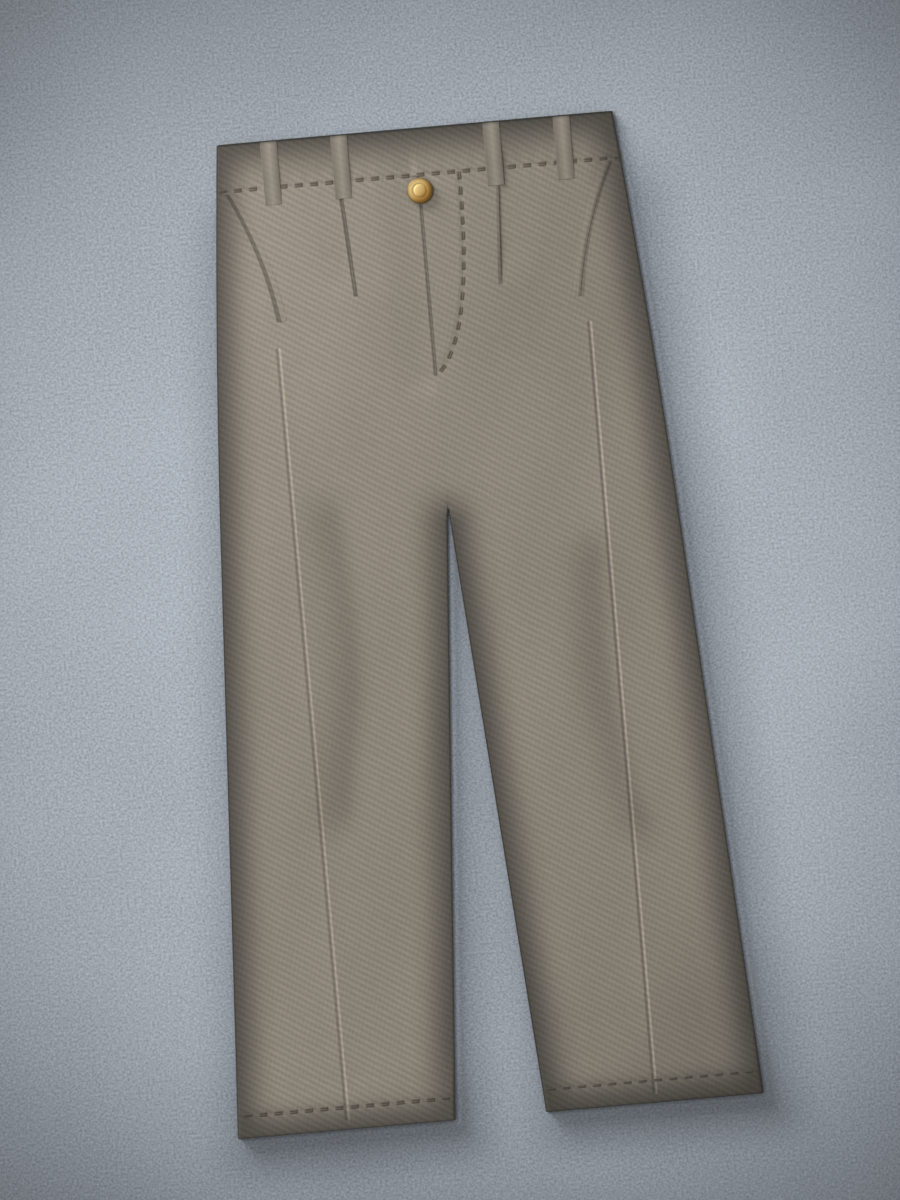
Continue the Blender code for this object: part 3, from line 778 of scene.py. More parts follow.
# %% Front markings
POCKET_CURVE = (
    # half_x, down: start, control point, end
    (194.0 * MM, 50.4 * MM), (160.6 * MM, 117.0 * MM), (152.0 * MM, 183.5 * MM),
)


def span(down, start, end, soft=0.7 * MM):
    """1 between start and end down the garment."""
    return down.rises(start - soft, start + soft) * (1 - down.rises(end - soft, end + soft))


def front_painted_lines(x, down):
    """Colour factor of the painted shade lines and of the crease's painted highlight and shade. sign is +1 on
    the left front and -1 on the right one: the left one's lines are fainter and a little broader, and its
    pleat's painted shade darkens downwards."""
    half_x, sign = abs(x), x.maths("SIGN")
    fly = (x + 0.4 * MM).within(1.9 * MM) * span(down, 50 * MM, FLY_END)
    slope = (PLEAT_END_X - PLEAT_TOP_X) / (PLEAT_END - PANEL_TOP)
    off_pleat = half_x - (down - PANEL_TOP) * slope - PLEAT_TOP_X + (sign + 1) * 0.42 * MM
    pleat = off_pleat.within(sign * 0.1 * MM + 2.25 * MM) * span(down, 52 * MM, PLEAT_END)
    darkens = down.rises(100 * MM, 158 * MM) * (sign + 1) * 0.08
    (x0, down0), (x1, _), (x2, down2) = POCKET_CURVE
    share = (down - down0) / (down2 - down0)
    line = (share * share * (x0 - 2 * x1 + x2)) + share * (2 * x1 - 2 * x0) + x0
    reach = share * 0.4 * MM + sign * 0.3 * MM + 2.35 * MM
    off_line = abs(half_x - line - share * 0.8 * MM + sign * 0.05 * MM)
    pocket = (1 - (off_line - reach).rises(-0.5 * MM, 0.5 * MM)) * span(down, down0, down2)
    beside = x - sign * (crease_line(down) + 0.5 * MM) - 0.5 * MM
    pressed = span(down, 209.5 * MM, 990.6 * MM)
    # Painted shade beside the crease, and a painted highlight on it.
    dark = (beside + 0.7 * MM).within(1.2 * MM, 0.8 * MM) * pressed
    light = (beside - 2.3 * MM).within(0.9 * MM, 0.8 * MM) * pressed
    # Painted shade along the fly, the pleats and the pocket mouths.
    lines = (1 - fly * 0.48) * (1 - pleat * (0.39 - sign * 0.17 + darkens))
    lines = lines * (1 - pocket * (0.37 - sign * 0.11))
    return lines * (1 - dark * 0.34) * (1 + light * (0.63 + sign * 0.07))


print("the pocket mouth starts", POCKET_CURVE[0][0] / MM, "mm from the centre line")

# %% [markdown]
# ## The cloth's finishes
# Cotton twill is matt, with a faint nap that catches light at a grazing angle, which the sheen socket
# gives. The fronts carry the painted lines, and the backs only the painted shade beside their crease.

# %% Cloth finishes
def cloth_finish(name, marks=None, colour=TWILL_COLOUR, weave=1.0):
    """Twill with its painted shade, and the painted lines of one side. weave is how much of the ribs shows.
    """
    finish = Finish(name, colour)
    x, y, factor, height = twill(finish)
    # The weave's colour times the painted shade kept at each vertex.
    factor, height = ((factor - 1) * weave + 1) * finish.tone(), height * weave
    if marks:
        factor = factor * marks(x, LENGTH / 2 - y)
    return finish.surface(Base_Color=finish.shaded(colour, factor), Roughness=0.93 - factor * 0.06,
                          Normal=finish.bumped(height), Sheen_Weight=0.08, Sheen_Roughness=0.6,
                          Specular_IOR_Level=0.25)


def back_crease_shade(x, down):
    """A line of painted shade beside the crease down the middle of the back of each leg."""
    off = abs(x) - crease_line(down)
    return 1 - (off + 1.2 * MM).within(1.2 * MM, 0.8 * MM) * span(down, 330 * MM, 990 * MM) * 0.22


front_twill = cloth_finish("front_twill", front_painted_lines)
back_twill = cloth_finish("back_twill", back_crease_shade)
band_twill = cloth_finish("band_twill")
print("finishes:", [finish.name for finish in (front_twill, back_twill, band_twill)])

# %% [markdown]
# ## Making the four leg panels
# Each panel is one closed shell with its own hem. It rides on the garment's one body and takes the place of
# its solid. The cut is what a maker would lay on the table: its length and width are the longest column and
# row of the grid, and its area is half of the shell's.

# %% Panels
def dress(mesh, finish, slot, *nodes):
    """A shown piece for these nodes."""
    piece = show(mesh.name, mesh)
    mesh.materials.append(finish)
    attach(piece, "root")
    if nodes:
        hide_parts(*nodes)
    return piece


def cut_size(points):
    """Width and length of the flat cut, and its area, from the grid of its middle surface."""
    wide = np.linalg.norm(np.diff(points, axis=1), axis=-1).sum(axis=1).max()
    long = np.linalg.norm(np.diff(points, axis=0), axis=-1).sum(axis=0).max()
    corners = points[:-1, :-1], points[1:, 1:], points[1:, :-1], points[:-1, 1:]
    area = np.linalg.norm(np.cross(corners[1] - corners[0], corners[3] - corners[2]), axis=-1).sum() / 2
    return (round(float(wide), 4), round(float(long), 4)), round(float(area), 5)


def row_places(step):
    """Rows down a leg, closer under the waist, at the crotch and at the hem's stitches."""
    even = np.arange(PANEL_TOP + 60 * MM, HEM_ROW - 8 * MM, step)
    top = np.linspace(PANEL_TOP, PANEL_TOP + 60 * MM, 20, endpoint=False)
    crotch = np.arange(CROTCH_OPENS[0], CROTCH_OPENS[1], 2 * MM)
    hem = np.linspace(HEM_ROW - 8 * MM, LENGTH, 20)
    return np.unique(np.round(np.concatenate([top, even, crotch, hem]), 5))


cuts, panels = {}, {}


def sew(name, grid, thickness, edges, finish, slot="twill", steps=3, tones=cloth_tone):
    """A cloth piece in the place of the node of this name. It and its cut are kept in panels and cuts."""
    mesh = tint(closed_shell(f"cloth_{name}", grid, thickness, edges, steps), tones)
    panels[name], cuts[name] = dress(mesh, finish, slot, name), cut_size(grid)
    print(name, len(mesh.polygons) * 2, "triangles; cut", cuts[name])


for side in SIDE_SIGN:
    for layer, surface, inward, step, finish in (("front", front_surface, -1, 4.8 * MM, front_twill),
                                                 ("back", back_surface, 1, 9 * MM, back_twill)):
        grid = with_hem(surface, row_places(step), side, inward)
        downs = LENGTH / 2 - grid[:, 0, 1]
        centre = 0.3 * MM * (1 - smooth(downs, FLY_END - 8 * MM, FLY_END)) if layer == "front" else 0.25 * MM
        centre = centre + 0.05 * MM * smooth(downs, *CROTCH_OPENS)
        seams = (centre, 0.05 * MM) if side == "left" else (0.05 * MM, centre)
        thick = CLOTH
        if layer == "front":
            thick = cloth_thickness(np.abs(grid[..., 0]), LENGTH / 2 - grid[..., 1])
        sew(f"{layer}_{side}", grid, thick, (0.0, 0.4 * MM, *seams), finish)

# %% [markdown]
# ## The waistband
# The band is a stiff strip folded along its top edge, so it is thicker than the legs and its top is round.
# Each half runs from the centre back, round the side in a half turn, and along the front. Its lower edge
# settles onto the legs at the seam, also over the low side of a pleat, so that no step shows there.

# %% Waistband
BAND_DEPTH, BAND_CLOTH, BAND_SIDE, BAND_TOP = 47.95 * MM, 2.4 * MM, 5.8 * MM, 7.5 * MM
BAND_EASES = 14 * MM         # from here down the band settles to the height of the legs


def band_side(down):
    """Height of the band's side edge, down to the legs' at the seam."""
    eased = smooth(down, BAND_EASES, BAND_DEPTH)
    return BAND_SIDE + (column(EDGE_HEIGHT, PANEL_TOP) - BAND_SIDE) * eased


def seam_height(half_x, side):
    """Height of the front's face at the waist seam, smooth across the pleat's edge and the fly's."""
    outside = half_x - PLEAT_TOP_X
    low = 2 * LAYER * smooth(outside, -4 * MM, 4 * MM) * (1 - smooth(outside, 0.0, PLEAT_SETTLES[0]))
    if side == "right":
        low = low + FLY_STEP * smooth(half_x, 0.0, 10 * MM) * (1 - smooth(half_x, MM, FLY_DIP + MM))
    return front_top(half_x, PANEL_TOP, side) + row_groove(PANEL_TOP, WAIST_ROW) - low


def band_top(half_x, down, side):
    """The band's outer face: its side height, rising inwards, settling to the seam, with the row's groove."""
    height = band_side(down) + (BAND_TOP - band_side(down)) * risen(outer_edge(down) - BAND_SIDE / 2 - half_x)
    height = height + 0.12 * MM * np.sin(math.pi * np.clip(down / BAND_DEPTH, 0, 1))
    height = height + (seam_height(half_x, side) - height) * smooth(down, BAND_EASES, BAND_DEPTH)
    return height - row_groove(down, WAIST_ROW)


def band_surface(down, side):
    """Middle of half a band: along the back, a half turn, and along the front."""
    down = down[:, None]
    radius, edge = band_side(down) / 2, outer_edge(down)
    middle = radius - BAND_CLOTH / 2
    back_x = between(CENTRE_GAP / 2, edge - radius, np.linspace(0, 1, 60)[:-1])
    back_z = BAND_CLOTH / 2 + underside(back_x, down)
    turn = np.linspace(-math.pi / 2, math.pi / 2, 15)
    turn_x, turn_z = edge - radius + middle * np.cos(turn), radius + middle * np.sin(turn) + 0 * edge
    front_x = between(edge - radius, CENTRE_GAP / 2, np.linspace(0, 1, 96)[1:])
    front_z = band_top(front_x, down, side) - BAND_CLOTH / 2
    start = front_z[:, :1] - turn_z[:, -1:]
    turn_z = turn_z + start * smooth(turn, 0, math.pi / 2)
    return placed(np.hstack([back_x, turn_x, front_x]), down, np.hstack([back_z, turn_z, front_z]), side)


band_rows = np.concatenate([np.linspace(BAND_CLOTH / 2, 40 * MM, 18), np.linspace(42 * MM, BAND_DEPTH, 8)])
for side in SIDE_SIGN:
    edges = (BAND_CLOTH / 2, 0.0, 0.0, 0.0)
    sew(f"waistband_{side}", band_surface(band_rows, side), BAND_CLOTH, edges, band_twill, "band_twill", 6)

# %% [markdown]
# ## Pocket mouths
# A slanted pocket's mouth is finished with a narrow folded strip. It is thick at the mouth, where the cloth
# turns under, and thins out towards the centre until it lies level with the front.

# %% Pocket mouths
WELT_WIDTH = 7 * MM


def welt_surface(side, rows=64, columns=13):
    """Points beside the pocket's curve, on the front, and the strip's thickness at each."""
    share = np.linspace(0.0, 1.0, rows)
    line = on_curve(POCKET_CURVE, share)
    run = heading(line[:, None], 0)[:, 0]
    inward = np.stack([-run[:, 1], run[:, 0]], axis=1)
    width = np.linspace(0.0, 1.0, columns)
    spot = line[:, None] + inward[:, None] * (WELT_WIDTH * width)[None, :, None]
    half_x, down = spot[..., 0], np.maximum(spot[..., 1], PANEL_TOP + 0.3 * MM)
    thick = 0.07 * MM + 0.14 * MM * (1 - smooth(width, 0.15, 1.0))
    ends = smooth(share, 0.0, 0.04) * (1 - smooth(share, 0.96, 1.0))
    thick = thick * (0.4 + 0.6 * ends)[:, None]
    height = front_top(half_x, down, side) + 0.04 * MM + thick / 2
    points = points_at(SIDE_SIGN[side] * half_x, down, height)
    return (points, thick) if side == "right" else (points[:, ::-1], thick[:, ::-1])


for side in SIDE_SIGN:
    sew(f"pocket_welt_{side}", *welt_surface(side), (0.1 * MM, 0.1 * MM, 0.12 * MM, 0.12 * MM), front_twill)

# %% [markdown]
# ## Belt loops
# A belt loop is a strip folded in three, so it is springy: its middle stands up and its edges bend down to
# the band. Both ends are turned under and sewn flat, and the lower one is pressed thin. The front ones step
# down from the band onto the legs.

# %% Belt loops
LOOP_CLOTH, LOOP_FROM = 0.4 * MM, 1.7 * MM
LOOP_FRONT_X = (-148 * MM, -77 * MM, 77 * MM, 148 * MM)


def front_loop_surface(centre, rows=46, columns=21):
    """Middle of a loop: an arch across, following the band and the leg's cloth downwards."""
    across = np.linspace(-1.0, 1.0, columns)
    down = np.linspace(LOOP_FROM + LOOP_CLOTH / 2, LOOP_TO - LOOP_CLOTH / 2, rows)[:, None]
    below = BAND_TOP + (column(FRONT_HEIGHT, LOOP_TO) - BAND_TOP) * smooth(down, 30 * MM, 54 * MM)
    free = smooth(down, LOOP_FROM, 9 * MM) * (1 - smooth(down, LOOP_TO - 14 * MM, LOOP_TO))
    thick = LOOP_CLOTH * (1 - 0.65 * smooth(down, LOOP_TO - 14 * MM, LOOP_TO - MM))
    arch = (1 - np.abs(across) ** 2.4) * (0.03 + 0.17 * free) * MM
    height = below + 0.05 * MM + thick / 2 + arch
    x = centre + across * (LOOP_WIDTH / 2 - 0.6 * MM) * (1 + 0.01 * np.sin(down * 180))
    return points_at(x, down, height), thick


def back_loop_surface(centre):
    """Middle of a loop under the garment: level."""
    x = centre + np.linspace(-0.5, 0.5, 13) * (LOOP_WIDTH - 1.0 * MM)
    down = np.linspace(LOOP_FROM + 0.5 * MM, LOOP_TO - 0.5 * MM, 24)[:, None]
    return points_at(x, down, LOOP_BACK_CLOTH / 2)


def loop_painted_shade(places):
    """Painted shade: lightest in the middle, darker to the edges and at the folded top."""
    off = places[:, :1] - np.array(LOOP_FRONT_X)
    off = off[np.arange(len(off)), np.argmin(np.abs(off), axis=1)] / (LOOP_WIDTH / 2)
    sides = 0.96 - np.where(off < 0, 0.43, 0.42) * np.minimum(np.abs(off), 1.05)
    return sides * (1 - 0.45 * (1 - smooth(LENGTH / 2 - places[:, 1], 2.2 * MM, 4.0 * MM)))


# The loops' colour is the twill's made lighter, as painted light on the raised strips.
loop_twill = cloth_finish("loop_twill", colour=(0.300, 0.266, 0.216), weave=0.35)
for number, centre in enumerate(LOOP_FRONT_X, 1):
    edges = [0.3 * MM, 0.1 * MM, 0.5 * MM, 0.5 * MM]
    sew(f"loop_front_{number}", *front_loop_surface(centre), edges, loop_twill, "loop_twill", 6, loop_painted_shade)
for number, centre in enumerate(LOOP_BACK_X, 1):
    grid = back_loop_surface(centre)
    sew(f"loop_back_{number}", grid, LOOP_BACK_CLOTH, [0.5 * MM] * 4, loop_twill, "loop_twill", 6)

# %% [markdown]
# ## Stitches
# The visible rows are sewn with two needles in a thick thread, so each stitch is a pair of short, fat
# threads that dive into the cloth at both ends. One formula makes them all: a flattened tube along each
# stitch, following the cloth under it. Where a belt loop covers a row, the stitch is cut short beside it.

# %% Stitch maker
FLY_FIRST, FLY_PITCH = 4.8 * MM, 15.2 * MM       # middle of the fly's first stitch along its curve
STITCH, TWIN = 8.7 * MM, 2.25 * MM               # a stitch's length, and its two threads' distance
SHORTEST_STITCH = 1.6 * MM
THREAD_HALF_WIDTH, THREAD_HALF_HEIGHT = 1.2 * MM, 0.24 * MM
WAIST_FIRST = 1.7 * MM
HEM_STARTS = {"right": (7.9 * MM, 0.95), "left": (6.5 * MM, 0.60)}   # one stitch's middle, share of the width


def twin_threads(middles, headings, lengths, widths, face, up=1, around=8, along=7):
    """Rings round each thread: width times cosine to the side, height times sine upwards, on a middle line
    that sinks at both ends, where the rings are closer together. Middles and headings are (x, down) pairs,
    widths are shares of the full width, and face gives the cloth's height."""
    shifts = np.array([-0.5, 0.5]) * TWIN
    aside = np.stack([-headings[:, 1], headings[:, 0]], axis=1)
    middles = (middles[None] + shifts[:, None, None] * aside * widths[:, None]).reshape(-1, 2)
    headings, aside, lengths, widths = (np.concatenate([a, a]) for a in (headings, aside, lengths, widths))
    share = np.linspace(-1.0, 1.0, along)
    share = np.sign(share) * (1 - (1 - np.abs(share)) ** 3)
    ring = np.linspace(0, 2 * math.pi, around, endpoint=False)
    line = middles[:, None] + headings[:, None] * (share[None, :] * lengths[:, None] / 2)[..., None]
    swell = np.sqrt(1 - 0.75 * np.abs(share) ** 20)
    sink = THREAD_HALF_HEIGHT * (0.30 - 0.9 * np.abs(share) ** 20)
    side = (THREAD_HALF_WIDTH * swell)[None, :, None] * np.cos(ring) * widths[:, None, None]
    rise = (THREAD_HALF_HEIGHT * swell)[None, :, None] * np.sin(ring) + sink[None, :, None]
    spot = line[:, :, None] + aside[:, None, None] * side[..., None]
    height = face(line[..., 0], line[..., 1])[..., None] + up * rise
    places = points_at(spot[..., 0], spot[..., 1], height)
    return places if up < 0 else places[:, :, ::-1]


def thread_mesh(name, places):
    """Joins every thread's rings into one mesh, each with a fan of four-sided faces at its ends."""
    index = np.arange(places[..., 0].size).reshape(places.shape[:3])
    ends = [index[:, 0, [0, 1, 2, 3]], index[:, 0, [0, 3, 4, 7]], index[:, 0, [4, 5, 6, 7]],
            index[:, -1, [3, 2, 1, 0]], index[:, -1, [7, 4, 3, 0]], index[:, -1, [7, 6, 5, 4]]]
    return new_mesh(name, places.reshape(-1, 3), np.concatenate([quads(index, closed=True), *ends]))


def row_of_stitches(low, high, down, first, wide=1.0, gaps=()):
    """Middles, headings, lengths and widths of a row across the garment, with one stitch's middle at first,
    kept clear of gaps (middle, half width). The thread is pulled thinner towards both ends."""
    starts = first + PITCH * np.arange(-20, 20) - STITCH / 2
    pieces = [(max(start, low), min(start + STITCH, high)) for start in starts]
    for middle, half in gaps:
        before = [(a, min(b, middle - half)) for a, b in pieces]
        pieces = before + [(max(a, middle + half), b) for a, b in pieces]
    pieces = np.array(sorted((a, b) for a, b in pieces if b - a > SHORTEST_STITCH))
    middles = np.stack([pieces.mean(axis=1), np.full(len(pieces), down)], axis=1)
    from_end = np.minimum(middles[:, 0] - low, high - middles[:, 0])
    widths = wide * (0.45 + 0.55 * smooth(from_end, 2 * MM, 26 * MM))
    return middles, np.tile([1.0, 0.0], (len(pieces), 1)), pieces[:, 1] - pieces[:, 0], widths


print("stitches repeat every", PITCH / MM, "mm")

# %% [markdown]
# ## Thread
# Thick sewing thread is twisted, so fine slanting lines run round it. The tubes are small, so the twist is a
# sine of the place along them, used for both colour and bump. It is darker than the cloth.

# %% Thread finish
THREAD_COLOUR = (0.132, 0.111, 0.085)
thread = Finish("sewing_thread", THREAD_COLOUR)
x, y, z = thread.parts(thread.place)
twist = ((x + y) * (2 * math.pi / (1.7 * MM)) + z * 2000.0).maths("SINE")
# The thread takes the cloth's painted shade kept at each vertex.
strands = (1 + twist * 0.08 + (thread.noise(300.0) - 0.5) * 0.2) * thread.tone()
thread_finish = thread.surface(Base_Color=thread.shaded(THREAD_COLOUR, strands),
                               Roughness=0.78 - twist * 0.04, Normal=thread.bumped(twist * 0.04 * MM),
                               Specular_IOR_Level=0.3)
print("thread finish:", thread_finish.name)

# %% [markdown]
# ## The rows
# One row crosses the waist where the band is sewn to the legs, and one crosses each hem, front and back.
# The curved row by the fly takes even steps along its curve: the curve's length is added up bit by bit, and
# the share at each even step is looked up in that sum. Each row is one mesh.

# %% Sewing the rows
def waist_face(x, down):
    """The band's face, which runs on at the seam's height below it."""
    above = np.minimum(down, BAND_DEPTH)
    return np.where(x > 0, band_top(np.abs(x), above, "left"), band_top(np.abs(x), above, "right"))


def left_face(x, down):
    """The left front's face, which the right one's equals at the hem."""
    return front_top(np.abs(x), down, "left")


def under_face(x, down):
    """Just above the surface that the garment lies on."""
    return 0 * x + THREAD_HALF_HEIGHT * 1.35


def stitched(name, places, slot="twill"):
    """A row of threads as a shown piece, with three quarters of the cloth's painted shade near the edges."""
    mesh = tint(thread_mesh(name, places), lambda spots: 0.25 + 0.75 * cloth_tone(spots))
    return dress(mesh, thread_finish, slot)


loops_front = [(x, LOOP_WIDTH / 2 + 0.2 * MM) for x in LOOP_FRONT_X]
loops_back = [(x, LOOP_WIDTH / 2 + 0.6 * MM) for x in LOOP_BACK_X]
waist_reach = float(outer_edge(WAIST_ROW)) - 1.8 * MM
stitches = []
for name, gaps, face, up in (("stitches_waist", loops_front, waist_face, 1),
                             ("stitches_waist_under", loops_back, under_face, -1)):
    row = row_of_stitches(-waist_reach, waist_reach, WAIST_ROW, WAIST_FIRST, gaps=gaps)
    stitches.append(stitched(name, twin_threads(*row, face, up), "band_twill"))
for side, sign in SIDE_SIGN.items():
    hem_ends = inner_edge(HEM_ROW) + 4 * MM, outer_edge(HEM_ROW) - 4 * MM
    low, high = sorted(sign * float(end) for end in hem_ends)
    row = row_of_stitches(low, high, HEM_ROW, *HEM_STARTS[side])
    stitches.append(stitched(f"stitches_hem_{side}", twin_threads(*row, left_face)))
    stitches.append(stitched(f"stitches_hem_under_{side}", twin_threads(*row, under_face, up=-1)))
even = np.arange(FLY_FIRST, FLY_WALKED[-1] - 3 * MM, FLY_PITCH)
shares = np.interp(even, FLY_WALKED, np.linspace(0, 1, len(FLY_WALKED)))
headings = unit(on_curve(FLY_CURVE, shares + 0.01) - on_curve(FLY_CURVE, shares - 0.01))
full = np.ones(len(shares))
fly_row = twin_threads(on_curve(FLY_CURVE, shares), headings, STITCH * full, full, left_face)
stitches.append(stitched("stitches_fly", fly_row))
print("stitch pieces:", [(piece.name, len(piece.data.polygons)) for piece in stitches])

# %% [markdown]
# ## The button
# The button is stamped brass: a rolled outer edge, a shallow ring groove and a domed middle, on a short
# foot. It is a profile carried once round, here as a grid of profile points by angles. Old lacquer darkens
# the groove. Painted shade darkens the rolled edge and, darker and redder, the lower right, and the dome is
# painted paler as painted light.

# %% Button
BUTTON_DOWN = 64 * MM
BUTTON_PROFILE = (
    # radius, height above the foot
    (0.0, 4.55), (1.5, 4.53), (3.0, 4.46), (4.3, 4.34), (5.2, 4.20), (5.8, 4.00), (6.2, 3.76), (6.55, 3.61),
    (6.9, 3.56), (7.25, 3.6), (7.6, 3.70), (8.1, 3.80), (8.7, 3.82), (9.8, 3.76), (10.9, 3.6), (11.8, 3.3),
    (12.5, 2.8), (13.0, 2.2), (13.2, 1.6), (13.1, 1.2), (12.7, 0.88), (11.9, 0.68), (11.0, 0.6), (4.2, 0.6),
    (4.0, 0.45), (4.0, 0.0), (2.0, 0.0), (0.0, 0.0),
)


def turned(profile, centre, steps=96):
    """radius times cosine and sine of the angle, at the profile's height."""
    radius, height = np.array(profile).T[:, :, None] * MM
    angle = np.linspace(0, 2 * math.pi, steps, endpoint=False)
    x, y = centre[0] + radius * np.cos(angle), centre[1] + radius * np.sin(angle)
    return np.stack(np.broadcast_arrays(x, y, centre[2] + height), axis=-1)


def turned_mesh(name, grid):
    """Four-sided faces round the grid, closed at both poles by merging their points."""
    rows, columns = grid.shape[:2]
    index = np.arange(rows * columns).reshape(rows, columns)
    index[0], index[-1] = index[0, 0], index[-1, 0]
    mesh = bpy.data.meshes.new(name)
    used, faces = np.unique(quads(index, closed=True), return_inverse=True)
    faces = [list(dict.fromkeys(face)) for face in faces.reshape(-1, 4).tolist()]
    mesh.from_pydata(grid.reshape(-1, 3)[used].tolist(), [], faces)
    mesh.polygons.foreach_set("use_smooth", np.ones(len(faces), dtype=bool))
    return mesh


BUTTON_AT = (0.0, LENGTH / 2 - BUTTON_DOWN, 7.2 * MM)
# Brass as painted in light and in painted shade, and the dark of old lacquer and painted shade.
LIT_BRASS, SHADED_BRASS, LACQUER_AND_SHADE_DARK = (0.69, 0.50, 0.19, 1), (0.69, 0.33, 0.035, 1), (0.14, 0.08, 0.02, 1)
brass = Finish("button_brass", (0.70, 0.42, 0.09))
x, y, z = brass.parts(brass.place)
off_y = y - BUTTON_AT[1]
radius = (x * x + off_y * off_y).maths("SQRT")
groove = (radius - 6.85 * MM).within(0.4 * MM, 0.45 * MM)
# Painted shade on the rolled edge.
rim_shade = radius.rises(8.3 * MM, 13.0 * MM)
scratches = brass.noise(900.0, 3.0)
clouds = brass.noise(160.0, 2.0)
# Painted shade towards the lower right.
lower_right_shade = ((x - off_y) / (13 * MM)).rises(-1.0, 1.0)
ring = radius.rises(5.5 * MM, 7.5 * MM)
# Old lacquer in the groove and painted shade on the edge; random clouds with painted shade; the painted
# shade's redness.
clear_of_lacquer_and_shade = 1 - groove * 0.24 - rim_shade * (0.96 - lower_right_shade * 0.52)
polish_and_shade = (0.88 + clouds * 0.20) * (1 - lower_right_shade * (0.20 + ring * 0.34))
redder_in_shade = lower_right_shade * (ring + (1 - ring) * lower_right_shade * 0.8)
golden = brass.mixed(redder_in_shade, LIT_BRASS, SHADED_BRASS)
brass_finish = brass.surface(
    Base_Color=brass.mixed(clear_of_lacquer_and_shade, LACQUER_AND_SHADE_DARK, brass.shaded(golden, polish_and_shade)), Metallic=0.35,
    Roughness=0.52 + scratches * 0.10 + groove * 0.2,
    Normal=brass.bumped((scratches - 0.5) * 0.03 * MM + (clouds - 0.5) * 0.1 * MM))
button_mesh = turned_mesh("brass_button", turned(BUTTON_PROFILE, BUTTON_AT))
button = dress(button_mesh, brass_finish, "button_brass", "button")
print("the button is", round(button.dimensions.x / MM, 1), "mm across")

# %% [markdown]

# %% [markdown]
# ## The surface
# The garment lies on blue-grey felted paper with a fine grain and a soft mottle. Its colour carries a painted
# pool of light, palest in the middle: the tone falls off softly away from the middle, measured in half widths
# and half heights of the picture, and once more to both ends. It is painted a little darker to the upper
# left, against the lamp, which is nearer there. A few millimetres of cloth cast only a narrow shadow, so the
# wide faint shade round the garment, widest to the lower right, is a wash of painted shadow in the paper: the
# outline's own formulas, each moved by its reach and softened. It starts where the cast shadow ends, so that
# the two don't add up.

# %% Floor
FLOOR_COLOUR = (0.405, 0.445, 0.495)
PICTURE_MIDDLE, PICTURE_HALF = (-5.8 * MM, 22.8 * MM), (453.7 * MM, 605.0 * MM)
floor_finish = Finish("floor_paper", FLOOR_COLOUR)
x, y, z = floor_finish.parts(floor_finish.place)
off_x, off_y = ((place - middle) / half for place, middle, half in zip((x, y), PICTURE_MIDDLE, PICTURE_HALF))
# A painted pool of light: palest in the middle, darker away from it and towards both ends.
away = off_x * off_x + off_y * off_y
ends = abs(off_y).rises(0.55, 1.45)
painted_light_pool = (1 - away.rises(0.35, 2.6) * 0.55) * (1 - ends * 0.41)
off_x, off_y = ((place.rises(-1.8, 1.8) - 0.5) * 2.4 for place in (off_x, off_y))
# Painted a little darker to the upper left, against the lamp that is nearer there.
painted_lamp_balance = 1 + off_x * 0.13 - off_y * 0.08 + off_x * off_y * 0.08
mottle = floor_finish.noise(4.0, 3.0) - 0.5
grain = floor_finish.noise(400.0, 2.0, roughness=0.7) - 0.5


def wash(distance, reach, soft):
    """1 well inside the reach, 0 well past it, fading over twice the softness."""
    return 1 - distance.rises(reach - soft, reach + soft)


down = LENGTH / 2 - y
hip = (1 - down / HIP_DOWN).maths("MAXIMUM", 0.0)
outer = (down - HIP_DOWN) * LEG_SLOPE + HIP_HALF - hip * hip * DRAWN_IN
inner = (down - CROTCH_DOWN).maths("MAXIMUM", 0.0) * (HEM_INNER / (LENGTH - CROTCH_DOWN))


def round_legs(near, far):
    """1 on both legs, each moved out by a reach and softened: near towards the window, far away from it."""
    left_leg = wash(x - outer, *far) * wash(inner - x, *near)
    right_leg = wash(x * -1 - outer, *near) * wash(x + inner, *far)
    return 1 - (1 - left_leg) * (1 - right_leg)


wide = round_legs((8 * MM, 41 * MM), (32 * MM, 38 * MM)) * wash(down - LENGTH, 40 * MM, 26 * MM)
cast = round_legs((-4 * MM, 3 * MM), (4.5 * MM, 3.5 * MM)) * wash(down - LENGTH, 4.5 * MM, 3.5 * MM)
shade = wide * wash(down * -1, -60 * MM, 40 * MM) * (1 - cast) * 0.36
floor_shade = painted_light_pool * painted_lamp_balance * (1 + mottle * 0.30 + grain * 1.45) * (1 - shade)
paper = floor_finish.surface(Base_Color=floor_finish.shaded(FLOOR_COLOUR, floor_shade), Roughness=0.9,
                             Normal=floor_finish.bumped(grain * 0.15 * MM), Specular_IOR_Level=0.2)
across = np.array([-8.0, -1.0, 1.0, 8.0])
floor_x, floor_y = np.meshgrid(across, across[::-1])
floor_places = np.stack([floor_x, floor_y, 0 * floor_x], axis=-1).reshape(-1, 3)
floor = show("floor", new_mesh("floor", floor_places, quads(np.arange(16).reshape(4, 4))))
floor.data.materials.append(paper)
print("floor:", floor.dimensions.x, "m wide")

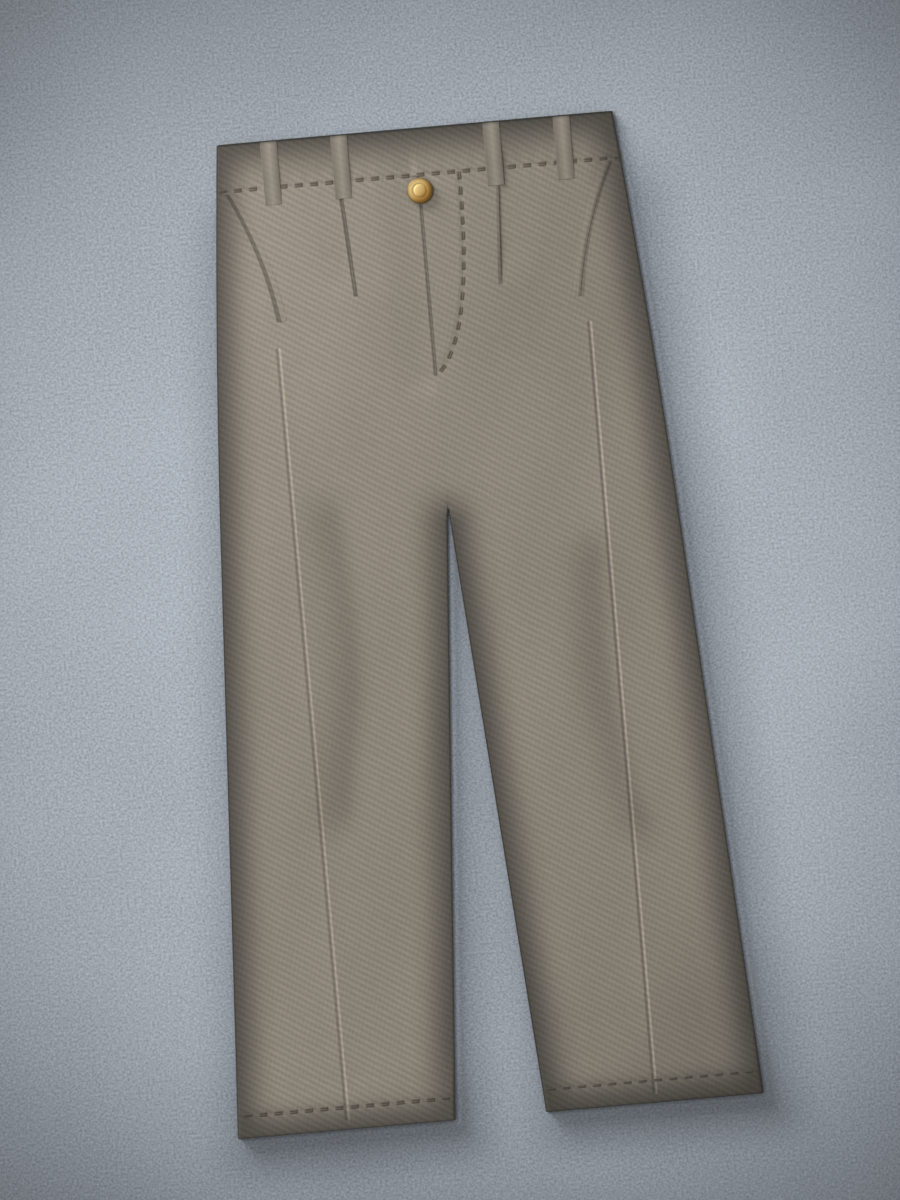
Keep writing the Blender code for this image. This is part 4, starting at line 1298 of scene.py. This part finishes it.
# %% [markdown]
# ## Light
# A wide soft light stands low and far beyond the waist on the left. Being low, it lets folds a few
# millimetres high cast soft shadows, and being far, it is nearly as bright at the hem as at the waist. A
# lamp above, on the same side, and a pale sky fill the shadows.

# %% Lights
KEY_AZIMUTH, KEY_ELEVATION, KEY_FAR = math.radians(40), math.radians(11.5), 8.0


def soft_light(name, place, aim, wide, high, watts):
    """A rectangular light at place, facing aim."""
    lamp = bpy.data.lights.new(name, "AREA")
    lamp.shape, lamp.size, lamp.size_y, lamp.energy = "RECTANGLE", wide, high, watts
    holder = show(name, lamp)
    holder.location = place
    back = np.array(place) - np.array(aim)
    turn_z = math.atan2(back[0], -back[1])
    holder.rotation_euler = (math.atan2(math.hypot(back[0], back[1]), back[2]), 0.0, turn_z)
    holder.visible_camera = False


key_place = KEY_FAR * np.array([-math.sin(KEY_AZIMUTH), math.cos(KEY_AZIMUTH), math.tan(KEY_ELEVATION)])
soft_light("window", key_place, (0.0, 0.0, 0.0), 4.0, 2.4, 970.0)
soft_light("overhead", (-0.85, 0.50, 1.30), (0.0, 0.0, 0.0), 0.9, 0.9, 12.0)
sky = bpy.data.worlds.new("pale_sky")
sky.use_nodes = True
background = sky.node_tree.nodes["Background"].inputs
background["Color"].default_value, background["Strength"].default_value = (0.97, 0.985, 1.0, 1.0), 0.35
bpy.context.scene.world = sky
bpy.context.scene.view_settings.view_transform = "Standard"

# %% [markdown]
# ## Camera
# The camera looks straight down through a long lens, so that the garment's sides stay parallel, and it is
# turned by 5 degrees, as the garment appears turned in the picture.

# %% Camera
PICTURE_HEIGHT = 1209.96 * MM      # what the frame covers, 1200 pixels of 1.0083 mm
TURN = math.radians(5)
lens = bpy.data.cameras.new("camera")
lens.lens, lens.sensor_width = 100.0, 36.0
camera = show("camera", lens)
camera.location = (*PICTURE_MIDDLE, 4 * MM + PICTURE_HEIGHT * lens.lens / lens.sensor_width)
camera.rotation_euler = (0.0, 0.0, -TURN)
bpy.context.scene.camera = camera
print("the camera is", round(camera.location.z, 2), "m up")
